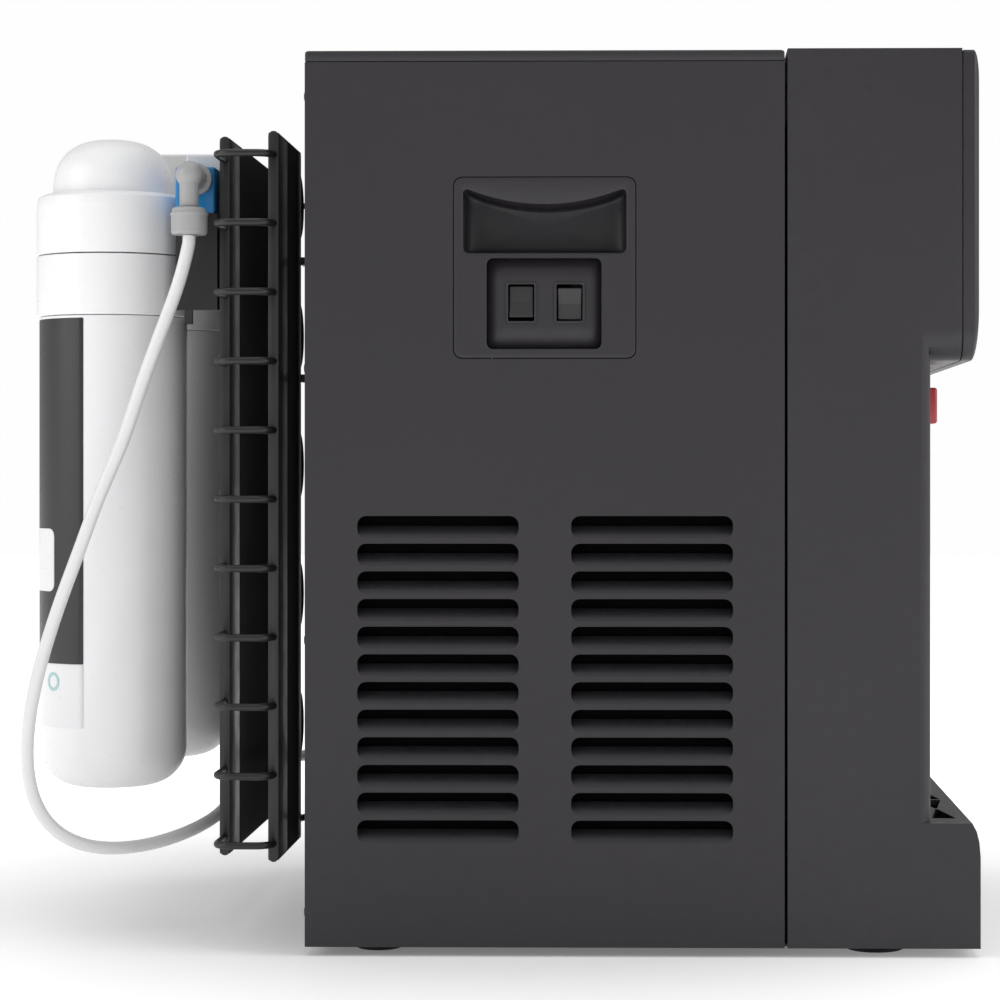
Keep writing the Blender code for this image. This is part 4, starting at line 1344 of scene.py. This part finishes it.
@dataclass
class Cabinet:
    """The top cover, the rear panel with its screws and fittings, the base and the feet."""

    edge_radius: float = 0.0014
    skirt: float = 0.0025
    corner_radius: float = 0.0016
    screw_radius: float = 0.0034

    def top_cover(self) -> None:
        """A pan turned upside down: one eased outline drawn from the hollow's ceiling, down inside the
        skirt, up its outside and over the rounded edge to the top."""
        low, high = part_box("top_cover")
        outline = eased_box(low.x, high.x, low.y, high.y, self.corner_radius)
        ceiling = high.z - self.skirt
        profile = [(self.skirt, ceiling), (self.skirt, low.z), (0.0002, low.z), (0, low.z + 0.0003)]
        over = quarter_round(self.edge_radius, high.z - self.edge_radius, high.z, 6)
        rings = ring_stack(outline, [*profile, *over.tolist()], Plane.TOP.place)
        ring_piece(rings, "lid", Body.CABINET, CABINET_BLACK, ["top_cover"])

    def screws(self) -> None:
        """Pan-head screws near the rear panel's edges, each a low turned dome with a driver's socket."""
        low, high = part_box("rear_panel")
        dome = [(0, 0.0004), (0.0013, 0.0004), (0.0014, 0.0016), (0.0022, 0.0014)]
        rim = [(self.screw_radius, 0.0006), (self.screw_radius, 0), (0, 0)]
        profile = eased([*dome, *rim], 0.0004)
        skin = Skin()
        for y in (low.y + 0.009, high.y - 0.009):
            for z in np.linspace(low.z + 0.015, high.z - 0.015, 4):
                skin.add_rings(turned(profile, (low.x - 0.0001, y, z), Axis.REAR, 20))
        set_piece(skin.mesh("panel_screws"), "panel_screws", Body.CABINET, PAINTED_SHEET)

    def fittings(self) -> None:
        """The drain plug's grooved cap, the water inlet's ribbed nut and the mains socket's pins."""
        low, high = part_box("drain_plug")
        middle = (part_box("rear_panel")[0].x, (low.y + high.y) / 2, (low.z + high.z) / 2)
        drain = eased([(0, 0.0066), (0.0040, 0.0066), (0.0052, 0.0075), (0.0085, 0.0075), (0.0095, 0.0065),
                       (0.0095, 0.0003), (0.0058, 0.0003), (0.0058, -0.0120), (0, -0.0120)], 0.0006)
        rings = self.grooved(drain, middle, 14, 0.035, 0.0090)
        ring_piece(rings, "drain_cap", Body.CABINET, FITTING_GREY, ["drain_plug"])
        low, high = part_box("inlet_fitting")
        middle = (middle[0], (low.y + high.y) / 2, (low.z + high.z) / 2)
        nut = eased([(0, 0.0123), (0.0058, 0.0123), (0.0078, 0.0110), (0.0078, 0.0052), (0.0095, 0.0050),
                     (0.0095, 0.0003), (0, 0.0003)], 0.0006)
        rings = self.grooved(nut, middle, 18, 0.03, 0.0070)
        ring_piece(rings, "inlet_nut", Body.CABINET, FITTING_GREY, ["inlet_fitting"])
        low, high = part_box("power_inlet")
        skin = Skin()
        for y, z in ((-0.0055, -0.0025), (0.0055, -0.0025), (0.0, 0.0035)):
            pin = eased_box(low.y + 0.018 + y - 0.001, low.y + 0.018 + y + 0.001,
                            low.z + 0.0145 + z - 0.002, low.z + 0.0145 + z + 0.002, 0.0005)
            steps = [(0.0004, low.x + 0.0065), (0, low.x + 0.0070), (0, low.x + 0.0172)]
            skin.add_rings(ring_stack(pin, steps, Plane.FRONT.place))
        set_piece(skin.mesh("mains_pins"), "mains_pins", Body.CABINET, BARE_STEEL)

    @staticmethod
    def grooved(profile: np.ndarray, centre: Sequence, grooves: int, share: float,
                from_radius: float) -> np.ndarray:
        """A turned piece whose outer wall is grooved: r becomes r (1 - share sin^2(grooves a / 2)) where
        r is at least a given radius.

        Args:
            profile: rows of radius and height.
            centre: world place of the profile's zero.
            grooves: how many.
            share: depth as a share of the radius.
            from_radius: least radius that is grooved.

        Returns:
            World points in rings.
        """
        angle = np.linspace(0, FULL_TURN, 6 * grooves, endpoint=False)
        radius, height = profile[:, :1], profile[:, 1:]
        depth = share * np.sin(grooves * angle / 2) ** 2 * (radius > from_radius)
        reach = radius * (1 - depth)
        across, around = reach * np.cos(angle), reach * np.sin(angle)
        return np.asarray(centre, float) + Axis.REAR.place(across, around, height)

    def feet(self) -> None:
        """Four rubber feet, each a turned puck with an eased tread and a shallow waist."""
        for row in ("front", "rear"):
            for side in ("left", "right"):
                node = f"{row}_{side}_foot"
                low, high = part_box(node)
                radius, top = (high.x - low.x) / 2, high.z
                corners = [(0, top), (radius, top), (radius - 0.0004, top * 0.6), (radius, top * 0.35),
                           (radius - 0.0012, 0), (radius * 0.6, 0), (radius * 0.55, 0.0004), (0, 0.0004)]
                rings = turned(eased(corners, 0.0006), ((low.x + high.x) / 2, (low.y + high.y) / 2, 0))
                name = f"{row}_{side}_pad"
                ring_piece(rings, name, Body.CABINET, FOOT_RUBBER, [node])

    def build(self) -> None:
        """Makes the cabinet's own pieces."""
        self.top_cover()
        softened("rear_panel", "back_sheet", Body.CABINET, PAINTED_SHEET, 0.0003)
        softened("base_pan", "bottom_sheet", Body.CABINET, PAINTED_SHEET, 0.0003)
        softened("power_inlet", "mains_socket", Body.CABINET, BRACKET_BLACK, 0.0005)
        self.screws()
        self.fittings()
        self.feet()


# --- front --------------------------------------------------------------------------------------------
@dataclass
class FrontModule:
    """The housing round the cup bay, the fascia with its window, the tray, the grille, spouts and levers."""

    lower_radius: float = 0.0145
    upper_radius: float = 0.0020
    bulge: float = 0.0030                    # how far the fascia's face stands out from its rim
    bulge_reach: float = 0.0150
    window: Box = (-0.0446, 0.0446, 0.3524, 0.3716)

    def corner_walls(self) -> None:
        """The walls of the head's two rounded lower corners: a crescent between two arcs, carried along X."""
        low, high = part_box("control_fascia")
        skin = Skin()
        for side, start in ((-1, 180), (1, 270)):
            middle = (side * (high.y - self.lower_radius), low.z + self.lower_radius)
            outer = bend(middle, self.lower_radius - 0.00006, (1, 0), (0, 1), start, 90, 13)
            inner = bend(middle, self.lower_radius - 0.0028, (1, 0), (0, 1), start + 90, -90, 13)
            outline = np.vstack([outer, inner])
            steps = [(0.0001, 0.2080), (0, 0.2083), (0, low.x - 0.0012), (0.0001, low.x - 0.0009)]
            skin.add_rings(ring_stack(outline, steps, Plane.FRONT.place))
        set_piece(skin.mesh("head_corner_walls"), "head_corner_walls", Body.CABINET, HOUSING_BLACK)

    def fascia(self) -> None:
        """The control fascia: the head's outline drawn in along an ellipse, quickly at its sides and
        slowly at its top and bottom, so that the face bulges."""
        low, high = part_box("control_fascia")
        corners = (
            (low.y, 1, low.z, 1, self.lower_radius, 180, 9),
            (high.y, -1, low.z, 1, self.lower_radius, 270, 9),
            (high.y, -1, high.z, -1, self.upper_radius, 0, 5),
            (low.y, 1, high.z, -1, self.upper_radius, 90, 5),
        )
        outline = np.vstack([
            bend((y + to_y * radius, z + to_z * radius), radius, (1, 0), (0, 1), start, 90, points)
            for y, to_y, z, to_z, radius, start, points in corners
        ])
        angle = np.linspace(0, math.pi / 2, 9)[:, None]
        drawn = (1 - np.cos(angle)) * np.array([0.0045, self.bulge_reach])
        face = np.hstack([drawn, high.x - self.bulge + self.bulge * np.sin(angle)])
        back = [(0.0004, 0.0004, low.x), (0, 0, low.x + 0.0004)]
        rings = ring_stack(outline, np.vstack([back, face]), Plane.FRONT.place)
        ring_piece(rings, "fascia", Body.CABINET, HOUSING_BLACK, ["control_fascia"])

    def window_piece(self) -> None:
        """The dark window, a low lens with eased edges, and three round indicators on it."""
        _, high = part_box("control_fascia")
        outline = eased_box(*self.window, 0.0030)
        over = quarter_round(0.0006, high.x - 0.0002, high.x + 0.0003)
        rings = ring_stack(outline, [(0, high.x - 0.0011), *over.tolist()], Plane.FRONT.place)
        ring_piece(rings, "window", Body.CABINET, WINDOW_GLASS, ["indicator_window"])
        dot = eased([(0, -0.00055), (0.0010, -0.0005), (0.0013, -0.0003), (0.0013, 0.0), (0, 0.0)], 0.0003)
        middle_z = (self.window[2] + self.window[3]) / 2
        skin = Skin()
        for y in (-0.026, 0.0, 0.026):
            skin.add_rings(turned(dot, (high.x + 0.0001, y, middle_z), Axis.REAR, 24))
        set_piece(skin.mesh("indicators"), "indicators", Body.CABINET, INDICATOR_PALE)

    def spouts(self) -> None:
        """Three turned spouts with an eased lip and an open mouth."""
        for name in ("hot", "room", "cold"):
            low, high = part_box(f"{name}_spout")
            centre = ((low.x + high.x) / 2, (low.y + high.y) / 2, 0)
            corners = [(0, high.z), (0.0100, high.z), (0.0100, 0.2874), (0.0070, 0.2872), (0.0068, 0.2530),
                       (0.0062, 0.2500), (0.0047, 0.2500), (0.0045, 0.2600), (0, 0.2600)]
            rings = turned(eased(corners, 0.0008), centre)
            ring_piece(rings, f"{name}_nozzle", Body.CABINET, TAP_GREY, [f"{name}_spout"])

    def build(self) -> None:
        """Makes the front."""
        softened("front_housing", "housing", Body.CABINET, HOUSING_BLACK, 0.0007, 3)
        self.corner_walls()
        self.fascia()
        self.window_piece()
        self.spouts()
        softened("hot_lever", "hot_arm", Body.HOT_LEVER, BRACKET_BLACK, 0.0005)
        softened("hot_safety_slide", "hot_tab", Body.HOT_SLIDE, SAFETY_RED, 0.0004)
        softened("room_lever", "room_arm", Body.ROOM_LEVER, BRACKET_BLACK, 0.0007)
        softened("cold_lever", "cold_arm", Body.COLD_LEVER, BRACKET_BLACK, 0.0007)
        softened("drip_tray", "tray", Body.DRIP_TRAY, HOUSING_BLACK, 0.0005)
        softened("drip_grille", "grille", Body.DRIP_GRILLE, HOUSING_BLACK, 0.0004)


# --- condenser ----------------------------------------------------------------------------------------
@dataclass
class Condenser:
    """Two layers of close upright wires on a serpentine tube, with a sleeve along each upright edge."""

    outer_x: float = -0.1317
    inner_x: float = -0.1047
    tube_radius: float = 0.0018
    levels: int = 11
    low_z: float = 0.0517
    pitch: float = 0.0332
    near_y: float = -0.1378
    corner: float = 0.0080
    inner_far_y: float = -0.0540
    outer_far_y: float = 0.0954
    grid_z: tuple[float, float] = (0.0427, 0.3953)
    outer_y: tuple[float, float] = (-0.1155, 0.0930)
    inner_y: tuple[float, float] = (-0.1375, -0.0545)
    wire_radius: float = 0.0004
    wire_pitch: float = 0.0030
    sleeve_half: float = 0.0026
    near_sleeve: float = 0.0310
    far_sleeve: float = 0.0120

    def path(self) -> np.ndarray:
        """The tube's middle line: a lead in, a hairpin at the left of each level, bends that join the
        levels at their far ends, and a lead out at the bottom.

        Returns:
            Stations along the tube.
        """
        panel_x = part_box("rear_panel")[0].x - 0.0003
        middle = (self.outer_x + self.inner_x) / 2
        hairpin = (self.inner_x - self.outer_x) / 2
        top = self.low_z + (self.levels - 1) * self.pitch
        runs = [np.array([(panel_x, 0.1254, top), (-0.0960, 0.1254, top)])]
        runs.append(bend((-0.1000, 0.0937, top), 0.0317, (0, 1, 0), (-1, 0, 0), 10, 80))
        for level in range(self.levels):
            z = top - level * self.pitch
            inward = 1 if level % 2 == 0 else -1
            for end, start in ((-inward, 0), (inward, 90)):
                centre = (middle + end * (hairpin - self.corner), self.near_y, z)
                runs.append(bend(centre, self.corner, (end, 0, 0), (0, -1, 0), start, 90 - 2 * start, 7))
            if level < self.levels - 1:
                far_y = self.inner_far_y if inward > 0 else self.outer_far_y
                centre = (middle + inward * hairpin, far_y, z - self.pitch / 2)
                runs.append(bend(centre, self.pitch / 2, (0, 1, 0), (0, 0, -1), -90, 180, 11))
        z = top - (self.levels - 1) * self.pitch
        runs.append(bend((self.inner_x + 0.012, -0.0450, z), 0.012, (-1, 0, 0), (0, 1, 0), 0, 90, 7))
        runs.append(np.array([(panel_x, -0.0330, z)]))
        return np.vstack(runs)

    def tube(self) -> None:
        """The painted tube: a round section carried along its path."""
        rings = tube_rings(self.path(), self.tube_radius, 12)
        ring_piece(rings, "coil", Body.CABINET, PAINTED_WIRE, ["condenser_tube"], 60)

    def wires(self, layer: str, where: str, x: float, spread: tuple[float, float]) -> None:
        """Upright round wires at an even pitch on one face of a layer.

        Args:
            layer: outer or inner.
            where: rear or front face.
            x: middle of the layer.
            spread: the layer's two ends in Y.
        """
        at = x + (self.tube_radius + self.wire_radius) * (1 if where == "front" else -1)
        low_z, high_z = self.grid_z[0] + 0.001, self.grid_z[1] - 0.001
        count = round((spread[1] - spread[0]) / self.wire_pitch)
        skin = Skin()
        for y in np.linspace(spread[0] + 0.001, spread[1] - 0.001, count):
            skin.add_rings(tube_rings(np.array([(at, y, low_z), (at, y, high_z)]), self.wire_radius, 6))
        name = f"{layer}_{where}_rods"
        set_piece(skin.mesh(name), name, Body.CABINET, PAINTED_WIRE, [f"{layer}_{where}_wires"], 80)

    def sleeves(self, layer: str, x: float, spread: tuple[float, float]) -> None:
        """The flat sleeves along a layer's two upright edges: a stadium section in XZ drawn in at both ends.

        Args:
            layer: outer or inner.
            x: middle of the layer.
            spread: the layer's two ends in Y.
        """
        half, (low_z, high_z) = self.sleeve_half, self.grid_z
        lower = bend((x, low_z + half), half, (1, 0), (0, 1), 180, 180, 11)
        upper = bend((x, high_z - half), half, (1, 0), (0, 1), 0, 180, 11)
        outline = np.vstack([lower, upper])
        ends = ((spread[0], spread[0] + self.near_sleeve), (spread[1] - self.far_sleeve, spread[1]))
        skin = Skin()
        for start, end in ends:
            steps = [(0.0006, start), (0.00015, start + 0.0002), (0, start + 0.0006), (0, end - 0.0006),
                     (0.00015, end - 0.0002), (0.0006, end)]
            skin.add_rings(ring_stack(outline, steps, Plane.SIDE.place))
        name = f"{layer}_sleeves"
        set_piece(skin.mesh(name), name, Body.CABINET, PAINTED_SHEET)

    def build(self) -> None:
        """Makes the condenser."""
        self.tube()
        layers = (("outer", self.outer_x, self.outer_y), ("inner", self.inner_x, self.inner_y))
        for layer, x, spread in layers:
            for where in ("rear", "front"):
                self.wires(layer, where, x, spread)
            self.sleeves(layer, x, spread)
        softened("upper_condenser_standoff", "upper_standoff", Body.CABINET, PAINTED_SHEET, 0.0003)
        softened("lower_condenser_standoff", "lower_standoff", Body.CABINET, PAINTED_SHEET, 0.0003)


# --- filters ------------------------------------------------------------------------------------------
@dataclass
class Filter:
    """One filter: its domed head, its locking ring and its cartridge with a plain label."""

    side: str
    ring_body: Body
    cartridge_body: Body
    dome_radius: float = 0.0302
    dome_base: float = 0.3707                # height at which the dome starts
    dome_power: float = 0.78                 # below 1 squares the dome's shoulders
    neck_radius: float = 0.0325
    corner: float = 0.0200                   # radius of the cartridge's lower corner
    film: float = 0.00015                    # thickness of the labels
    steps: int = 72
    centre: tuple[float, float, float] = field(init=False)
    body_radius: float = field(init=False)

    def __post_init__(self) -> None:
        """Reads the filter's axis from the frame."""
        low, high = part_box(f"{self.side}_filter_cartridge")
        self.centre = ((low.x + high.x) / 2, (low.y + high.y) / 2, 0)
        self.body_radius = (high.x - low.x) / 2

    def head(self) -> None:
        """A dome on a collar: a squared cap with radius r sin(a)^0.78 and height h cos(a)^0.78, a cove,
        an eased shoulder and an upright wall."""
        low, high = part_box(f"{self.side}_filter_head")
        collar = (high.x - low.x) / 2
        angle = np.linspace(0, math.pi / 2, 24)
        across = self.dome_radius * np.sin(angle) ** self.dome_power
        rise = self.dome_base + (high.z - self.dome_base) * np.abs(np.cos(angle)) ** self.dome_power
        dome = np.column_stack([across, rise])
        wall = eased([dome[-1], (0.0304, 0.3702), (0.0345, 0.3700), (0.0376, 0.3682), (collar, 0.3640),
                      (collar, low.z), (0, low.z)], 0.0008)
        rings = turned(np.vstack([dome, wall[1:]]), self.centre, steps=self.steps)
        name = f"{self.side}_head"
        ring_piece(rings, name, Body.CABINET, FILTER_WHITE, [f"{self.side}_filter_head"])

    def ring(self) -> None:
        """The locking ring: a band closed on itself, with eased edges."""
        low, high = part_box(f"{self.side}_filter_ring")
        outer = (high.x - low.x) / 2
        band = eased([(0.0330, high.z), (outer, high.z), (outer, low.z), (0.0330, low.z)], 0.0006, 4, True)
        rings = turned(np.vstack([band, band[:1]]), self.centre, steps=self.steps)
        name = f"{self.side}_lock_ring"
        made = Skin().add_rings(rings, OPEN_ENDS).mesh(name)
        set_piece(made, name, self.ring_body, FILTER_WHITE, [f"{self.side}_filter_ring"])

    def cartridge(self) -> None:
        """The cartridge: a neck in the ring, a straight wall, a round lower corner and a small foot disc."""
        low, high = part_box(f"{self.side}_filter_cartridge")
        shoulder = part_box(f"{self.side}_filter_ring")[0].z - 0.0003
        angle = np.linspace(0, math.pi / 2, 12)
        corner = self.corner
        inner = self.body_radius - corner
        curve = np.column_stack([inner + corner * np.cos(angle), low.z + 0.0208 - corner * np.sin(angle)])
        throat = [(0, high.z), (self.neck_radius, high.z), (self.neck_radius, shoulder)]
        neck = eased([*throat, (self.body_radius, shoulder), curve[0]], 0.0006)
        foot = eased([curve[-1], (0.0117, low.z + 0.0008), (0.0115, low.z), (0, low.z)], 0.0004)
        profile = np.vstack([neck, curve[1:], foot[1:]])
        name = f"{self.side}_shell"
        rings = turned(profile, self.centre, steps=self.steps)
        ring_piece(rings, name, self.cartridge_body, FILTER_WHITE, [f"{self.side}_filter_cartridge"])

    def wrapped(self, name: str, half_angle: float, low_z: float, high_z: float, radius: float, lift: float,
                finish: Finish) -> None:
        """A thin film wrapped on the cartridge, about its rearmost line.

        Its half width at a height is H - (r - sqrt(r^2 - d^2)), where d is how far the height lies inside the
        last r before an end, so that its corners are round.

        Args:
            name: what the film is.
            half_angle: half of its width in degrees.
            low_z: its lower edge.
            high_z: its upper edge.
            radius: radius of its corners.
            lift: how far it stands off the cartridge.
            finish: its finish.
        """
        reach = self.body_radius + lift
        half = math.radians(half_angle) * reach
        ends = np.linspace(0, 1, 7) ** 2 * radius
        straight = np.linspace(low_z + radius, high_z - radius, 3)
        z = np.unique(np.concatenate([low_z + ends, straight, high_z - ends]))
        inside = np.clip(np.maximum(low_z + radius - z, z - high_z + radius), 0, radius)
        width = half - (radius - np.sqrt(np.maximum(radius**2 - inside**2, 0)))
        angle = np.linspace(-1, 1, LABEL_COLUMNS)[None] * (width / reach)[:, None]
        x, y = self.centre[0] - reach * np.cos(angle), self.centre[1] + reach * np.sin(angle)
        points = Plane.TOP.place(x, y, np.broadcast_to(z[:, None], angle.shape))
        label = f"{self.side}_{name}"
        data = Skin().add(points, grid_quads(*angle.shape)).mesh(label, closed=False, flip=True)
        give_wall(set_piece(data, label, self.cartridge_body, finish), self.film)

    def rim_mark(self, middle_angle: float, z: float) -> None:
        """A small printed ring on the label: a flat band between two circles, wrapped on the cartridge.

        Args:
            middle_angle: where it lies, in degrees from the rearmost line.
            z: its height.
        """
        reach = self.body_radius + 0.00045
        turn = np.linspace(0, FULL_TURN, MARK_STEPS, endpoint=False)
        radius = np.array([0.0046, 0.0032])[:, None]
        angle = math.radians(middle_angle) + radius * np.cos(turn) / reach
        x, y = self.centre[0] - reach * np.cos(angle), self.centre[1] - reach * np.sin(angle)
        points = Plane.TOP.place(x, y, z + radius * np.sin(turn))
        label = f"{self.side}_label_mark"
        data = Skin().add(points, grid_quads(2, MARK_STEPS, wrap=True)).mesh(label, closed=False)
        give_wall(set_piece(data, label, self.cartridge_body, LABEL_TEAL), 0.0001)

    def build(self) -> None:
        """Makes the filter."""
        self.head()
        self.ring()
        self.cartridge()
        self.wrapped("label_band", 77.5, 0.1357, 0.3070, 0.0006, 0.00022, LABEL_GREY)
        self.wrapped("label_tab", 49.5, 0.1714, 0.2026, 0.0040, 0.00040, LABEL_WHITE)
        self.wrapped("label_foot", 77.5, 0.1040, 0.1354, 0.0010, 0.00022, LABEL_WHITE)
        self.rim_mark(48.0, 0.1266)


# --- the rest of the frame ----------------------------------------------------------------------------
INSIDE_FINISHES = {
    "compressor": PAINTED_SHEET, "cold_tank": BARE_STEEL, "cold_tank_foam": TANK_FOAM, "hot_tank": BARE_STEEL,
    "evaporator_coil": COPPER_TUBE, "filter_dryer": COPPER_TUBE, "control_board": BOARD_GREEN,
    "hot_valve": MANIFOLD_WHITE, "room_valve": MANIFOLD_WHITE, "cold_valve": MANIFOLD_WHITE,
    "tap_bracket": PAINTED_SHEET, "lever_pivot_rod": BARE_STEEL,
}


def dress_inside() -> None:
    """Gives the frame nodes that stay on show their finishes."""
    for node, finish in INSIDE_FINISHES.items():
        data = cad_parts[node].data
        data.materials.clear()
        data.materials.append(finish.material())
        LOG.info("%s keeps its frame shape, in %s", node, finish.name)


def write_sizes() -> None:
    """Gathers the frame's box and the finished model's box as plain lists."""
    boxes = {
        name: [list(corner) for corner in box] for name, box in (("cad", CAD_BOX), ("visual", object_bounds()))
    }


def main() -> None:
    """Builds the studio, then the unit from the hose to the filters."""
    logging.basicConfig(level=logging.INFO, format="%(message)s")
    Studio().build()
    WaterLine().build()
    SidePanel("left", -1).build(with_switches=True)
    SidePanel("right", 1).build(with_switches=False)
    Cabinet().build()
    FrontModule().build()
    Condenser().build()
    Filter("near", Body.NEAR_RING, Body.NEAR_CARTRIDGE).build()
    Filter("far", Body.FAR_RING, Body.FAR_CARTRIDGE).build()
    dress_inside()
    write_sizes()


if __name__ == "__main__":
    main()
